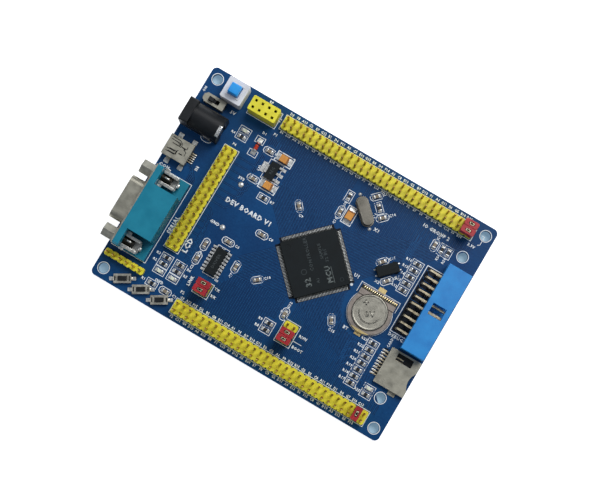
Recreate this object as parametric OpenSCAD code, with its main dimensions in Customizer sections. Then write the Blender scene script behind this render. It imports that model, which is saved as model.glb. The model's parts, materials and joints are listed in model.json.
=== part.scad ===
// Microcontroller development board with two long pin headers, a serial
// connector, a USB socket, a power jack, a debug connector and a card socket.
// Millimetres, +Z up. The origin is the centre of the four corner holes on the
// board's underside. +X runs along the long edge to the debug connector.

/* [Board] */
// Length of the circuit board along X
board_l = 114.3; // [112:0.1:150]
// Width of the circuit board along Y
board_w = 83.8; // [83:0.1:110]
// Thickness of the circuit board
board_t = 1.6; // [1:0.1:2.4]
// Radius of the board's corners
board_r = 1.8; // [0.5:0.1:3]
// Distance of the corner holes from the short edges
hole_edge_x = 3.3; // [3:0.1:4.5]
// Distance of the corner holes from the long edges
hole_edge_y = 3.7; // [3:0.1:4.5]
// Diameter of every mounting hole
mount_d = 3.6; // [2.6:0.1:3.8]
// Distance of the two extra holes from the right edge
extra_edge_x = 6.55; // [5:0.05:8]
// Distance of the upper extra hole from the top edge
extra_top = 14; // [12:0.1:15]
// Distance of the lower extra hole from the bottom edge
extra_low = 13.65; // [12:0.05:15]

/* [Pin headers] */
// Distance between neighbouring header pins
pitch = 2.54; // [2:0.01:2.54]
// Width of the square header pins
pin_w = 0.64; // [0.4:0.02:0.7]
// Height of the pin tips above the board
pin_up = 8.5; // [6:0.1:12]
// Length of the pins below the board's top face
pin_down = 3; // [2.5:0.1:4]
// Gap between a pin's corners and its plated hole
pin_hole_gap = 0.06; // [0.03:0.01:0.15]
// Gap round a pin in its plastic
pin_fit = 0.02; // [0.01:0.01:0.05]
// Height of the header plastic
header_h = 2.5; // [1.5:0.1:3]
// Size of the notches between header columns
header_notch = 0.45; // [0.2:0.05:0.6]
// Columns in each long header
long_count = 30; // [20:1:30]
// Distance of the first long header pin from the left edge
long_x = 32; // [31:0.1:34]
// Distance of the upper row of the top header from the top edge
top_y = 3.73; // [3.5:0.01:5]
// Distance of the lower row of the bottom header from the bottom edge
bottom_y = 3.63; // [3.5:0.01:4.5]
// Rows in the display header
display_count = 16; // [10:1:16]
// Distance of the display header's left pins from the left edge
display_x = 18.7; // [18:0.1:20]
// Distance of the display header's lowest pins from the bottom edge
display_y = 22.3; // [21:0.1:24]
// Pins in the programming header
prog_count = 6; // [4:1:6]
// Distance of the programming header's first pin from the left edge
prog_x = 2.25; // [2:0.05:3]
// Distance of the programming header from the bottom edge
prog_y = 9.2; // [8.9:0.1:10]
// Distance of the serial link header from the left edge
serial_link_x = 35.06; // [34:0.01:38]
// Distance of the serial link header from the bottom edge
serial_link_y = 13.88; // [12:0.01:15]
// Distance of the boot link header from the left edge
boot_link_x = 67.88; // [66:0.01:70]
// Distance of the boot link header from the bottom edge
boot_link_y = 13.93; // [12:0.01:15]

/* [Jumper caps] */
// Length of a jumper cap
cap_l = 5; // [4.8:0.05:5.04]
// Width of a jumper cap
cap_w = 2.44; // [2.3:0.02:2.5]
// Height of a jumper cap
cap_h = 6; // [5.5:0.1:8]
// Gap between a seated cap and the header plastic
cap_gap = 0.5; // [0.1:0.1:1]
// Thickness of the cap's roof
cap_roof = 0.4; // [0.2:0.05:0.6]
// Length of the cavity in a cap
cap_hollow_l = 4; // [3.8:0.05:4.2]
// Width of the cavity in a cap
cap_hollow_w = 1.42; // [1.3:0.02:1.6]
// Sheet thickness of the metal link in a cap
link_t = 0.2; // [0.15:0.01:0.25]

/* [Radio socket] */
// Length of the radio module socket
radio_l = 10.6; // [10.3:0.1:11]
// Width of the radio module socket
radio_w = 5.4; // [5:0.1:5.6]
// Height of the radio module socket
radio_h = 8.5; // [6:0.1:9]
// Distance of the radio socket's first contact from the left edge
radio_x = 19.7; // [19:0.1:21]
// Distance of the radio socket's upper contacts from the top edge
radio_y = 4.43; // [4.2:0.01:6]
// Width of the entry holes of the radio socket
radio_hole = 0.9; // [0.8:0.05:1.1]

/* [Power switch] */
// Side of the square power switch housing
power_w = 8; // [7:0.1:8.5]
// Height of the power switch housing
power_h = 7.4; // [6:0.1:9]
// Side of the square power button
button_w = 3.8; // [3:0.1:4.5]
// Height of the power button's face above the board
button_top = 11; // [9:0.1:13]
// Travel of the power button
button_travel = 1.5; // [1:0.1:2]
// Distance of the power switch from the left edge
power_x = 11.6; // [11:0.1:13]
// Distance of the power switch from the top edge
power_y = 5.2; // [4.8:0.1:6]

/* [Slide switch] */
// Length of the slide switch cover
slide_l = 8.4; // [8:0.1:9]
// Width of the slide switch cover
slide_w = 3.5; // [3:0.1:3.7]
// Height of the slide switch cover
slide_h = 3.5; // [3:0.1:5]
// Length of the knob along its slot
knob_l = 1.9; // [1.5:0.1:2.5]
// Travel of the knob
knob_travel = 2; // [1.5:0.1:2.2]
// Height of the knob above the cover
knob_up = 1.6; // [1:0.1:5]
// Distance of the slide switch from the left edge
slide_x = 6.65; // [6:0.05:8]
// Distance of the slide switch from the top edge
slide_y = 11.4; // [11:0.1:12]

/* [Power jack] */
// Width of the power jack
jack_w = 9; // [8.5:0.1:9.5]
// Length of the power jack
jack_l = 14.6; // [14:0.1:15]
// Height of the power jack's front
jack_h = 11; // [10.5:0.1:12]
// Thickness of the power jack's front
jack_front = 3.4; // [3:0.1:4]
// Diameter of the barrel opening
barrel_d = 6.4; // [5.5:0.1:6.6]
// Depth of the barrel opening
barrel_depth = 9.3; // [8:0.1:10]
// Diameter of the centre pin
centre_pin_d = 2.1; // [1.3:0.1:2.5]
// Height of the barrel's axis above the board
barrel_z = 6.5; // [6:0.1:7]
// Distance of the power jack from the top edge
jack_y = 19.2; // [19:0.1:20]

/* [USB socket] */
// Length of the USB shell along X
usb_l = 9.2; // [8.5:0.1:9.4]
// Width of the USB shell
usb_w = 7.7; // [7.5:0.1:7.8]
// Height of the USB shell
usb_h = 4; // [3.8:0.1:4.2]
// Sheet thickness of the USB shell
usb_t = 0.35; // [0.25:0.05:0.4]
// Distance of the USB socket from the bottom edge
usb_y = 51.7; // [50:0.1:53]

/* [Serial connector] */
// Width of the serial connector's flange
serial_w = 30.8; // [30.5:0.1:31.2]
// Height of the serial connector's flange
serial_h = 12.5; // [12:0.1:13]
// Distance of the flange's front face from the left edge
serial_front = 2.4; // [2:0.1:3]
// Distance of the rear of the serial housing from the left edge
serial_rear = 14.2; // [13.5:0.1:14.6]
// Sheet thickness of the flange and shell
serial_t = 0.5; // [0.4:0.05:0.8]
// Length of the shell in front of the flange
serial_shell_l = 5.5; // [5:0.1:6.2]
// Width of the shell at its wide side
serial_shell_w = 16.33; // [16:0.01:17]
// Height of the shell
serial_shell_h = 7.9; // [7.5:0.1:8.4]
// Width of the raised middle of the housing
serial_mid_w = 17.4; // [16.5:0.1:18.5]
// Thickness of the housing's floor at both ends
serial_floor = 2.5; // [1.5:0.1:3]
// Distance between the two jack screws
screw_span = 24.99; // [24.8:0.01:25.2]
// Width across flats of a jack screw
screw_af = 4.75; // [4.5:0.05:5]
// Length of a jack screw's hexagon
screw_l = 5; // [4.5:0.1:6]
// Diameter of the threaded bore of a jack screw
screw_bore = 2.5; // [2.2:0.05:2.8]
// Distance of the serial connector from the bottom edge
serial_y = 27.9; // [27:0.1:29]

/* [Debug connector] */
// Length of the debug connector along Y
debug_w = 33; // [32.5:0.1:34]
// Depth of the debug connector along X
debug_l = 8.8; // [8.5:0.1:9.5]
// Height of the debug connector
debug_h = 9; // [8.5:0.1:9.4]
// Wall thickness of the debug connector
debug_wall = 1.2; // [1:0.1:1.3]
// Thickness of the debug connector's rear wall
debug_back = 1.9; // [1.5:0.1:2.2]
// Distance of the connector's mouth from the right edge
debug_edge = 0.75; // [0.3:0.05:1.5]
// Distance of the debug connector from the bottom edge
debug_y = 48.2; // [48:0.1:50]
// Columns of pins in the debug connector
debug_count = 10; // [6:1:10]
// Length of the key window along X
key_l = 5.1; // [4:0.1:5.4]
// Width of the key window
key_w = 4.3; // [4:0.1:4.6]

/* [Card socket] */
// Width of the card socket along Y
card_w = 13.4; // [13:0.1:13.6]
// Length of the card socket along X
card_l = 11.7; // [11.4:0.1:12]
// Height of the card socket
card_h = 1.9; // [1.6:0.1:2.2]
// Sheet thickness of the card socket's shell
card_t = 0.25; // [0.2:0.05:0.3]
// Distance of the card socket from the bottom edge
card_y = 24.1; // [23.6:0.1:24.4]
// Depth of the finger notch in the shell
card_notch = 1.2; // [0.8:0.1:1.6]

/* [Battery] */
// Diameter of the coin cell
coin_d = 12.5; // [11:0.1:12.5]
// Thickness of the coin cell
coin_t = 2; // [1.6:0.1:2.5]
// Width of the battery holder's rim
holder_rim = 1.35; // [1:0.05:2]
// Height of the battery holder's rim
holder_h = 2.1; // [1.5:0.1:3]
// Gap round the coin cell
coin_gap = 0.1; // [0.05:0.01:0.3]
// Distance of the battery from the right edge
coin_x = 24.45; // [24:0.05:26]
// Distance of the battery from the bottom edge
coin_y = 36.9; // [36:0.1:38]

/* [Chips] */
// Side of the controller's square package
mcu_w = 20; // [19:0.1:20]
// Thickness of the controller's package
mcu_h = 1.4; // [1:0.1:1.6]
// Leads on each side of the controller
mcu_leads = 36; // [20:1:36]
// Distance between the controller's leads
mcu_pitch = 0.5; // [0.4:0.01:0.5]
// Distance of the controller from the left edge
mcu_x = 65.06; // [64:0.01:66]
// Distance of the controller from the bottom edge
mcu_y = 41.9; // [41:0.1:43]
// Width of the transceiver package
driver_w = 3.9; // [3.8:0.1:4]
// Length of the transceiver package
driver_l = 9.9; // [9.8:0.1:10.2]
// Length of the crystal's flange
crystal_l = 11; // [10.5:0.1:11.4]
// Width of the crystal's flange
crystal_w = 4.6; // [4.4:0.1:4.8]
// Height of the crystal
crystal_h = 3.5; // [3:0.1:4.2]
// Length of a chip resistor or capacitor
chip_l = 2; // [1.6:0.1:2.2]
// Width of a chip resistor or capacitor
chip_w = 1.25; // [0.8:0.05:1.3]
// Travel of a small push button
tact_travel = 0.25; // [0.2:0.05:0.3]
// Height of a small push button's face above the board
tact_top = 2.5; // [2.2:0.1:3]

/* [Hidden] */
// Rounded edges are drawn with this many steps
$fn = 64;
eps = 0.01;
small_gap = 0.02;
run_gap = 0.05;
lead_fit = 0.01;
cap_z = header_h + cap_gap;
pin_hole_d = pin_w * sqrt(2) + 2 * pin_hole_gap;

// A distance below zero is measured from the right or the top edge.
function edge_x(x) = x < 0 ? board_l / 2 + x : x - board_l / 2;
function edge_y(y) = y < 0 ? board_w / 2 + y : y - board_w / 2;

// Puts a shape at a place on the board, at the height of its underside.
module spot(x, y, turn = 0) {
  translate([edge_x(x), edge_y(y), 0])
    rotate([0, 0, turn])
      children();
}

// Puts a shape at a place on the board's top face.
module seat(x, y, turn = 0) {
  translate([0, 0, board_t])
    spot(x, y, turn)
      children();
}

// A box centred in X and Y that stands on z = 0.
module slab(l, w, h) {
  translate([-l / 2, -w / 2, 0])
    cube([l, w, h]);
}

// A flat rectangle with cut corners.
module cut_rect(l, w, c) {
  polygon([
    [-l / 2 + c, -w / 2], [l / 2 - c, -w / 2], [l / 2, -w / 2 + c], [l / 2, w / 2 - c],
    [l / 2 - c, w / 2], [-l / 2 + c, w / 2], [-l / 2, w / 2 - c], [-l / 2, -w / 2 + c]
  ]);
}

// A flat rectangle with round corners.
module round_rect(l, w, r) {
  square([l - 2 * r, w], center = true);
  square([l, w - 2 * r], center = true);
  for (i = [-1, 1], j = [-1, 1])
    translate([i * (l / 2 - r), j * (w / 2 - r)])
      circle(r = r);
}

// A flat slot with round ends along X.
module stadium(l, w) {
  square([l - w, w], center = true);
  for (i = [-1, 1])
    translate([i * (l - w) / 2, 0])
      circle(d = w);
}

// Extrudes a Y-Z outline along +X.
module along_x(l) {
  rotate([90, 0, 90])
    linear_extrude(l)
      children();
}

// Extrudes an X-Z outline along Y, centred.
module along_y(l) {
  translate([0, l / 2, 0])
    rotate([90, 0, 0])
      linear_extrude(l)
        children();
}

// A moulded package whose four sides slope to a parting line.
module moulded(l, w, low, high, slope) {
  mid = (low + high) / 2;
  intersection() {
    translate([-l / 2, 0, 0])
      along_x(l)
        polygon([
          [-w / 2 + slope, low], [w / 2 - slope, low], [w / 2, mid],
          [w / 2 - slope, high], [-w / 2 + slope, high], [-w / 2, mid]
        ]);
    along_y(w)
      polygon([
        [-l / 2 + slope, low], [l / 2 - slope, low], [l / 2, mid],
        [l / 2 - slope, high], [-l / 2 + slope, high], [-l / 2, mid]
      ]);
  }
}

// ---- Pin headers ----

module pin_outline(low, high) {
  c = pin_w / 4;
  polygon([
    [-pin_w / 2, low + 2 * c], [-c, low], [c, low], [pin_w / 2, low + 2 * c],
    [pin_w / 2, high - 2 * c], [c, high], [-c, high], [-pin_w / 2, high - 2 * c]
  ]);
}

module pin_grid(nx, ny, low, high) {
  intersection() {
    translate([0, ny * pitch, 0])
      rotate([90, 0, 0])
        linear_extrude((ny + 1) * pitch)
          for (i = [0 : nx - 1])
            translate([i * pitch, 0])
              pin_outline(low, high);
    translate([-pitch, 0, 0])
      along_x((nx + 1) * pitch)
        for (j = [0 : ny - 1])
          translate([j * pitch, 0])
            pin_outline(low, high);
  }
}

module hole_grid(nx, ny, d) {
  for (i = [0 : nx - 1], j = [0 : ny - 1])
    translate([i * pitch, j * pitch])
      circle(d = d, $fn = 32);
}

module square_grid(nx, ny, w) {
  for (i = [0 : nx - 1], j = [0 : ny - 1])
    translate([i * pitch, j * pitch])
      square(w, center = true);
}

// Header plastic with a notch between neighbours along its long side.
module header_plastic(nx, ny) {
  long_in_x = nx >= ny;
  linear_extrude(header_h)
    difference() {
      if (long_in_x)
        for (i = [0 : nx - 1])
          translate([i * pitch, (ny - 1) * pitch / 2])
            cut_rect(pitch, ny * pitch, header_notch);
      else
        for (j = [0 : ny - 1])
          translate([(nx - 1) * pitch / 2, j * pitch])
            cut_rect(nx * pitch, pitch, header_notch);
      square_grid(nx, ny, pin_w + 2 * pin_fit);
    }
}

module header_pins(nx, ny) {
  pin_grid(nx, ny, -pin_down, pin_up);
}

module on_top_header(i = 0, j = 0) {
  seat(long_x + i * pitch, -top_y - pitch + j * pitch)
    children();
}

module on_bottom_header(i = 0, j = 0) {
  seat(long_x + i * pitch, bottom_y + j * pitch)
    children();
}

module top_header() {
  color("gold")
    on_top_header()
      header_plastic(long_count, 2);
}

module top_header_pins() {
  color("goldenrod")
    on_top_header()
      header_pins(long_count, 2);
}

module bottom_header() {
  color("gold")
    on_bottom_header()
      header_plastic(long_count, 2);
}

module bottom_header_pins() {
  color("goldenrod")
    on_bottom_header()
      header_pins(long_count, 2);
}

module display_header() {
  color("gold")
    seat(display_x, display_y)
      header_plastic(2, display_count);
}

module display_header_pins() {
  color("goldenrod")
    seat(display_x, display_y)
      header_pins(2, display_count);
}

module programming_header() {
  color("gold")
    seat(prog_x, prog_y)
      header_plastic(prog_count, 1);
}

module link_headers() {
  color("gold") {
    seat(serial_link_x, serial_link_y)
      header_plastic(2, 2);
    seat(boot_link_x, boot_link_y)
      header_plastic(2, 3);
  }
}

module small_header_pins() {
  color("goldenrod") {
    seat(prog_x, prog_y)
      header_pins(prog_count, 1);
    seat(serial_link_x, serial_link_y)
      header_pins(2, 2);
    seat(boot_link_x, boot_link_y)
      header_pins(2, 3);
  }
}

// ---- Jumper caps ----

// A cap lying along X, drawn about the middle of the two pins it joins.
module jumper_cap() {
  translate([0, 0, cap_z]) {
    difference() {
      linear_extrude(cap_h)
        cut_rect(cap_l, cap_w, 0.3);
      translate([0, 0, -eps])
        slab(cap_hollow_l, cap_hollow_w, cap_h - cap_roof + eps);
      linear_extrude(cap_h + 1)
        stadium(2.3, 1.2);
      for (i = [-1, 1])
        translate([0, i * cap_w / 2, -eps])
          slab(1.2, 0.3, cap_h * 0.45);
    }
    translate([0, 0, 0.8])
      linear_extrude(cap_h - cap_roof - 1.2)
        difference() {
          square([cap_hollow_l - small_gap, cap_hollow_w - small_gap], center = true);
          square([cap_hollow_l - small_gap - 2 * link_t, cap_hollow_w - small_gap - 2 * link_t],
            center = true);
        }
  }
}

module top_jumper_upper() {
  color("firebrick")
    on_top_header(long_count - 1.5, 1)
      jumper_cap();
}

module top_jumper_lower() {
  color("firebrick")
    on_top_header(long_count - 1.5, 0)
      jumper_cap();
}

module bottom_jumper() {
  color("firebrick")
    on_bottom_header(long_count - 2, 0.5)
      rotate([0, 0, 90])
        jumper_cap();
}

module serial_jumper(row) {
  color("firebrick")
    seat(serial_link_x + pitch / 2, serial_link_y + row * pitch)
      jumper_cap();
}

module serial_jumper_upper() {
  serial_jumper(1);
}

module serial_jumper_lower() {
  serial_jumper(0);
}

module boot_jumper(row) {
  color("firebrick")
    seat(boot_link_x + pitch / 2, boot_link_y + row * pitch)
      jumper_cap();
}

module boot_jumper_upper() {
  boot_jumper(1);
}

module boot_jumper_lower() {
  boot_jumper(0);
}

// ---- Radio module socket ----

module on_radio() {
  seat(radio_x, -radio_y - pitch)
    children();
}

module radio_socket() {
  color("gold")
    on_radio()
      difference() {
        translate([1.5 * pitch, pitch / 2, 0])
          linear_extrude(radio_h)
            cut_rect(radio_l, radio_w, 0.3);
        for (i = [0 : 3], j = [0 : 1])
          translate([i * pitch, j * pitch, 0]) {
            translate([0, 0, -eps])
              slab(1.6, 1.6, radio_h - 1);
            slab(radio_hole, radio_hole, radio_h + 1);
          }
      }
}

module radio_socket_contacts() {
  color("goldenrod")
    on_radio()
      for (i = [0 : 3], j = [0 : 1])
        translate([i * pitch, j * pitch, 0]) {
          translate([0, 0, -pin_down])
            slab(0.6, 0.3, pin_down + 0.4);
          translate([0, 0, 0.3])
            slab(1.5, 1.2, 0.25);
          for (k = [-1, 1])
            translate([k * 0.65, 0, 0.3])
              slab(0.2, 1.2, radio_h - 2);
        }
}

// ---- Power switch ----

power_guide = button_w + 0.3;
power_hollow = button_w + 1.6;
button_low = 2.6;

module power_switch_housing() {
  color("whitesmoke")
    seat(power_x, -power_y)
      difference() {
        union() {
          linear_extrude(power_h)
            cut_rect(power_w, power_w, 0.4);
          translate([0, 0, power_h])
            slab(power_guide + 1, power_guide + 1, 0.5);
        }
        translate([0, 0, 1])
          slab(power_hollow, power_hollow, power_h - 2);
        translate([0, 0, 1])
          slab(power_guide, power_guide, power_h + 1);
      }
}

module power_switch_button() {
  color("deepskyblue")
    seat(power_x, -power_y) {
      translate([0, 0, button_low])
        linear_extrude(button_top - button_low - 0.4)
          cut_rect(button_w, button_w, 0.2);
      moulded_top(button_w, button_top);
      translate([0, 0, power_h - 1 - 1 - small_gap])
        slab(power_hollow - 0.2, power_hollow - 0.2, 1);
    }
}

// The eased upper edge of a square button.
module moulded_top(w, top) {
  intersection() {
    translate([-w / 2, 0, 0])
      along_x(w)
        polygon([
          [-w / 2 + 0.2, top - 0.4], [w / 2 - 0.2, top - 0.4], [w / 2 - 0.2, top - 0.2],
          [w / 2 - 0.4, top], [-w / 2 + 0.4, top], [-w / 2 + 0.2, top - 0.2]
        ]);
    along_y(w)
      polygon([
        [-w / 2 + 0.2, top - 0.4], [w / 2 - 0.2, top - 0.4], [w / 2 - 0.2, top - 0.2],
        [w / 2 - 0.4, top], [-w / 2 + 0.4, top], [-w / 2 + 0.2, top - 0.2]
      ]);
  }
}

leg_w = 0.7;
leg_t = 0.4;
leg_gap = 0.15;

module power_pin_spots() {
  for (i = [-1 : 1], j = [-1, 1])
    translate([i * 2.2, j * 2.9])
      children();
}

module power_switch_pins() {
  color("silver")
    seat(power_x, -power_y)
      power_pin_spots()
        translate([0, 0, -pin_down])
          slab(leg_w, leg_t, pin_down);
}

// ---- Slide switch ----

slot_l = knob_l + knob_travel + 0.1;
slide_t = 0.3;
knob_w = 1.4;
carrier_top = slide_h - slide_t - small_gap;

module slide_switch_cover() {
  color("silver")
    seat(slide_x, -slide_y) {
      difference() {
        linear_extrude(slide_h)
          polygon([
            [-slide_l / 2, -slide_w / 2 + 1], [-slide_l / 2 + 1, -slide_w / 2],
            [slide_l / 2, -slide_w / 2], [slide_l / 2, slide_w / 2],
            [-slide_l / 2 + 1, slide_w / 2], [-slide_l / 2, slide_w / 2 - 1]
          ]);
        translate([0, 0, -eps])
          linear_extrude(slide_h - slide_t + eps)
            polygon([
              [-slide_l / 2 + slide_t, -slide_w / 2 + 1.1], [-slide_l / 2 + 1.1, -slide_w / 2 + slide_t],
              [slide_l / 2 - slide_t, -slide_w / 2 + slide_t], [slide_l / 2 - slide_t, slide_w / 2 - slide_t],
              [-slide_l / 2 + 1.1, slide_w / 2 - slide_t], [-slide_l / 2 + slide_t, slide_w / 2 - 1.1]
            ]);
        translate([0, 0, slide_h / 2])
          slab(slot_l, knob_w + 0.1, slide_h);
      }
      for (i = [-1, 1])
        translate([i * (slide_l / 2 - slide_t / 2), 0, -pin_down + 0.4])
          slab(slide_t, 1, pin_down);
    }
}

module slide_switch_base() {
  color("dimgray")
    seat(slide_x, -slide_y) {
      slab(slide_l - 2.3, slide_w - 2 * slide_t - 2 * small_gap, 1);
      for (i = [-1 : 1])
        translate([i * 2, 0, -pin_down])
          slab(0.6, 0.4, pin_down + eps);
    }
}

module slide_switch_knob() {
  color("dimgray")
    seat(slide_x, -slide_y)
      translate([-knob_travel / 2, 0, 0]) {
        translate([0, 0, 1.1])
          slab(knob_l + 1.6, slide_w - 2 * slide_t - 0.2, carrier_top - 1.1);
        translate([0, 0, 1.1])
          slab(knob_l, knob_w, slide_h + knob_up - 1.1);
      }
}

// ---- Power jack ----

module on_jack() {
  seat(0.1, -jack_y)
    children();
}

module power_jack_housing() {
  color("#202226")
    on_jack()
      difference() {
        union() {
          along_x(jack_front)
            translate([0, jack_h / 2])
              cut_rect(jack_w, jack_h, 0.5);
          along_x(jack_l) {
            translate([-jack_w / 2, 0])
              square([jack_w, barrel_z]);
            translate([0, barrel_z])
              circle(d = jack_w - 0.4);
          }
        }
        translate([-eps, 0, barrel_z])
          rotate([0, 90, 0])
            cylinder(d = barrel_d, h = barrel_depth);
        translate([0, 0, barrel_z])
          rotate([0, 90, 0])
            cylinder(d = centre_pin_d + 2 * lead_fit, h = jack_l + 1);
        translate([jack_l - 0.8 - blade_t / 2 - small_gap, -blade_w / 2 - 0.4, -eps])
          cube([3, blade_w + 0.8, barrel_z + 2]);
        translate([7.7, 0, -eps])
          slab(blade_t + 0.1, blade_w + 0.1, 1.6);
        translate([10.7, -jack_w / 2, -eps])
          slab(blade_w + 0.1, blade_t + 0.5, 4);
      }
}

blade_w = 2.6;
blade_t = 0.5;
blade_gap = 0.2;

module jack_blade_spots() {
  translate([jack_l - 0.8, 0])
    children();
  translate([7.7, 0])
    children();
  translate([10.7, -jack_w / 2])
    rotate(90)
      children();
}

module power_jack_contacts() {
  color("silver")
    on_jack() {
      translate([0.7, 0, barrel_z])
        rotate([0, 90, 0])
          cylinder(d = centre_pin_d, h = jack_l - 1.2);
      translate([jack_l - 0.8, 0, -pin_down])
        slab(blade_t, blade_w, pin_down + barrel_z + 1.3);
      translate([7.7, 0, -pin_down])
        slab(blade_t, blade_w, pin_down + 1.5);
      translate([10.7, -jack_w / 2, -pin_down])
        slab(blade_w, blade_t, pin_down + 3.6);
    }
}

// ---- USB socket ----

module on_usb() {
  seat(0.05, usb_y)
    children();
}

// The opening: a wide upper part over a narrower lower part.
module usb_outline(grow) {
  w = usb_w / 2 - usb_t + grow;
  n = w - 0.75;
  low = usb_t - grow;
  high = usb_h - usb_t + grow;
  polygon([
    [-n, low], [n, low], [n, low + 0.9], [w, low + 1.6],
    [w, high], [-w, high], [-w, low + 1.6], [-n, low + 0.9]
  ]);
}

// The legs end inside the slanting wall, below the room for the insert.
usb_leg_h = usb_t + 0.9 + (usb_t + 0.15) * 0.7 / 0.75 - 0.1;

module usb_shell() {
  color("silver")
    on_usb() {
      difference() {
        along_x(usb_l)
          usb_outline(usb_t);
        translate([-1, 0, 0])
          along_x(usb_l + 1 - usb_t)
            usb_outline(0);
        for (i = [-1, 1]) {
          translate([3.3, i * 1.55, usb_h / 2])
            difference() {
              slab(3, 1.3, usb_h);
              translate([-0.3, 0, -eps])
                slab(2.8, 0.8, usb_h + 1);
            }
          translate([usb_l / 2 + 1.6, i * 1.2, usb_h / 2])
            slab(1.4, 0.35, usb_h);
        }
        translate([usb_l - 1, 0, -eps])
          slab(3, 4.6, 1.5);
      }
      for (i = [-1, 1], x = [2.6, 8])
        translate([x, i * (usb_w / 2 - 0.3), 0]) {
          translate([0, i * 0.7, 0])
            slab(1.5, 1.8, 0.3);
          translate([0, -i * 0.1, 0])
            slab(1.5, 0.4, usb_leg_h);
        }
    }
}

module usb_contact_row(first, last, low, high) {
  for (k = [-2 : 2])
    translate([first, k * 0.8 - 0.15, low])
      cube([last - first, 0.3, high - low]);
}

module usb_insert() {
  color("#202226")
    on_usb() {
      difference() {
        union() {
          translate([usb_l - usb_t - 3 - small_gap, 0, 0])
            along_x(3)
              usb_outline(-small_gap);
          translate([1.2, -1.95, 1.55])
            cube([usb_l - usb_t - 1.3, 3.9, 0.9]);
        }
        usb_contact_row(1.4, usb_l + 2, 1.35, 1.61);
        usb_contact_row(usb_l - usb_t - 1, usb_l + 2, 0, 1.61);
      }
    }
}

module usb_contacts() {
  color("goldenrod")
    on_usb() {
      usb_contact_row(1.5, usb_l - 0.8, 1.4, 1.6);
      usb_contact_row(usb_l - 1, usb_l - 0.8, 0, 1.6);
      usb_contact_row(usb_l - 1, usb_l + 1.1, 0, 0.15);
    }
}

// ---- Serial connector ----

serial_z = serial_h / 2;
serial_back = serial_front + serial_t;
serial_step = serial_back + 2.2;
screw_hole = 3;
contact_d = 1.5;
row_gap = 2.84;
pin_gap = 2.77;
serial_row_x = 9.6;

module on_serial() {
  seat(0, serial_y)
    children();
}

// A D outline with its wide side up, grown or shrunk by g.
module d_outline(g) {
  r = 2.4 + g;
  w = serial_shell_w / 2 - 2.4;
  h = serial_shell_h / 2 - 2.4;
  n = w - 2 * h * tan(10);
  corners = [[-n, -h], [n, -h], [w, h], [-w, h]];
  polygon(corners);
  for (k = [0 : 3]) {
    p = corners[k];
    q = corners[(k + 1) % 4];
    translate(p)
      circle(r = r);
    translate(p)
      rotate(atan2(q[1] - p[1], q[0] - p[0]))
        translate([0, -r])
          square([norm(q - p), r]);
  }
}

module serial_contact_spots() {
  for (k = [0 : 4])
    translate([0, (k - 2) * pin_gap, serial_z + row_gap / 2])
      children();
  for (k = [0 : 3])
    translate([0, (k - 1.5) * pin_gap, serial_z - row_gap / 2])
      children();
}

module serial_shell() {
  color("silver")
    on_serial() {
      difference() {
        translate([serial_front, 0, 0])
          along_x(serial_t)
            translate([0, serial_z])
              cut_rect(serial_w, serial_h, 0.6);
        translate([0, 0, serial_z])
          along_x(10)
            d_outline(-serial_t);
        for (k = [-1, 1])
          translate([0, k * screw_span / 2, serial_z])
            rotate([0, 90, 0])
              cylinder(d = screw_hole, h = 10);
      }
      difference() {
        translate([serial_front - serial_shell_l, 0, serial_z])
          along_x(serial_shell_l)
            d_outline(0);
        translate([serial_front - serial_shell_l - 1, 0, serial_z])
          along_x(serial_shell_l + 2)
            d_outline(-serial_t);
      }
    }
}

module serial_housing() {
  rear_l = serial_rear - serial_step;
  color("teal")
    on_serial()
      difference() {
        union() {
          translate([serial_back, 0, 0])
            along_x(serial_step - serial_back)
              translate([0, serial_z])
                cut_rect(serial_w, serial_h, 0.6);
          translate([serial_step, -serial_mid_w / 2, 0])
            cube([rear_l, serial_mid_w, serial_h]);
          translate([serial_step, -serial_w / 2, 0])
            cube([rear_l, serial_w, serial_floor]);
          translate([serial_front - serial_shell_l + 0.4, 0, serial_z])
            along_x(serial_shell_l + 1)
              d_outline(-serial_t - run_gap);
        }
        serial_contact_spots() {
          translate([serial_front - serial_shell_l - 1, 0, 0])
            rotate([0, 90, 0])
              cylinder(d = contact_d + 2 * lead_fit, h = serial_row_x + 4.2 + row_gap, $fn = 32);
        }
        for (k = [0 : 4])
          translate([serial_row_x + row_gap, (k - 2) * pin_gap, -eps])
            cylinder(d = contact_d + 2 * lead_fit, h = serial_z + row_gap / 2, $fn = 32);
        for (k = [0 : 3])
          translate([serial_row_x, (k - 1.5) * pin_gap, -eps])
            cylinder(d = contact_d + 2 * lead_fit, h = serial_z - row_gap / 2, $fn = 32);
        for (k = [-1, 1])
          translate([0, k * screw_span / 2, 0]) {
            translate([0, 0, serial_z])
              rotate([0, 90, 0])
                cylinder(d = screw_hole, h = 10);
            translate([lock_x, 0, -eps])
              slab(0.7, 2.6, serial_floor + 1);
          }
      }
}

module serial_contacts() {
  color("goldenrod")
    on_serial() {
      for (row = [0, 1])
        for (k = [0 : (row == 0 ? 4 : 3)])
          translate([0, (k - (row == 0 ? 2 : 1.5)) * pin_gap, 0])
            difference() {
              union() {
                translate([serial_front - serial_shell_l + 0.9, 0, serial_z + (0.5 - row) * row_gap])
                  rotate([0, 90, 0])
                    cylinder(d = contact_d, $fn = 32,
                      h = serial_row_x - serial_front + serial_shell_l - 0.9 + (1 - row) * row_gap);
                translate([serial_row_x + (1 - row) * row_gap, 0, -pin_down])
                  cylinder(d = 0.8, h = pin_down + serial_z + (0.5 - row) * row_gap, $fn = 32);
              }
              translate([serial_front - serial_shell_l, 0, serial_z + (0.5 - row) * row_gap])
                rotate([0, 90, 0])
                  cylinder(d = 1, h = 6, $fn = 32);
            }
    }
}

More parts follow.
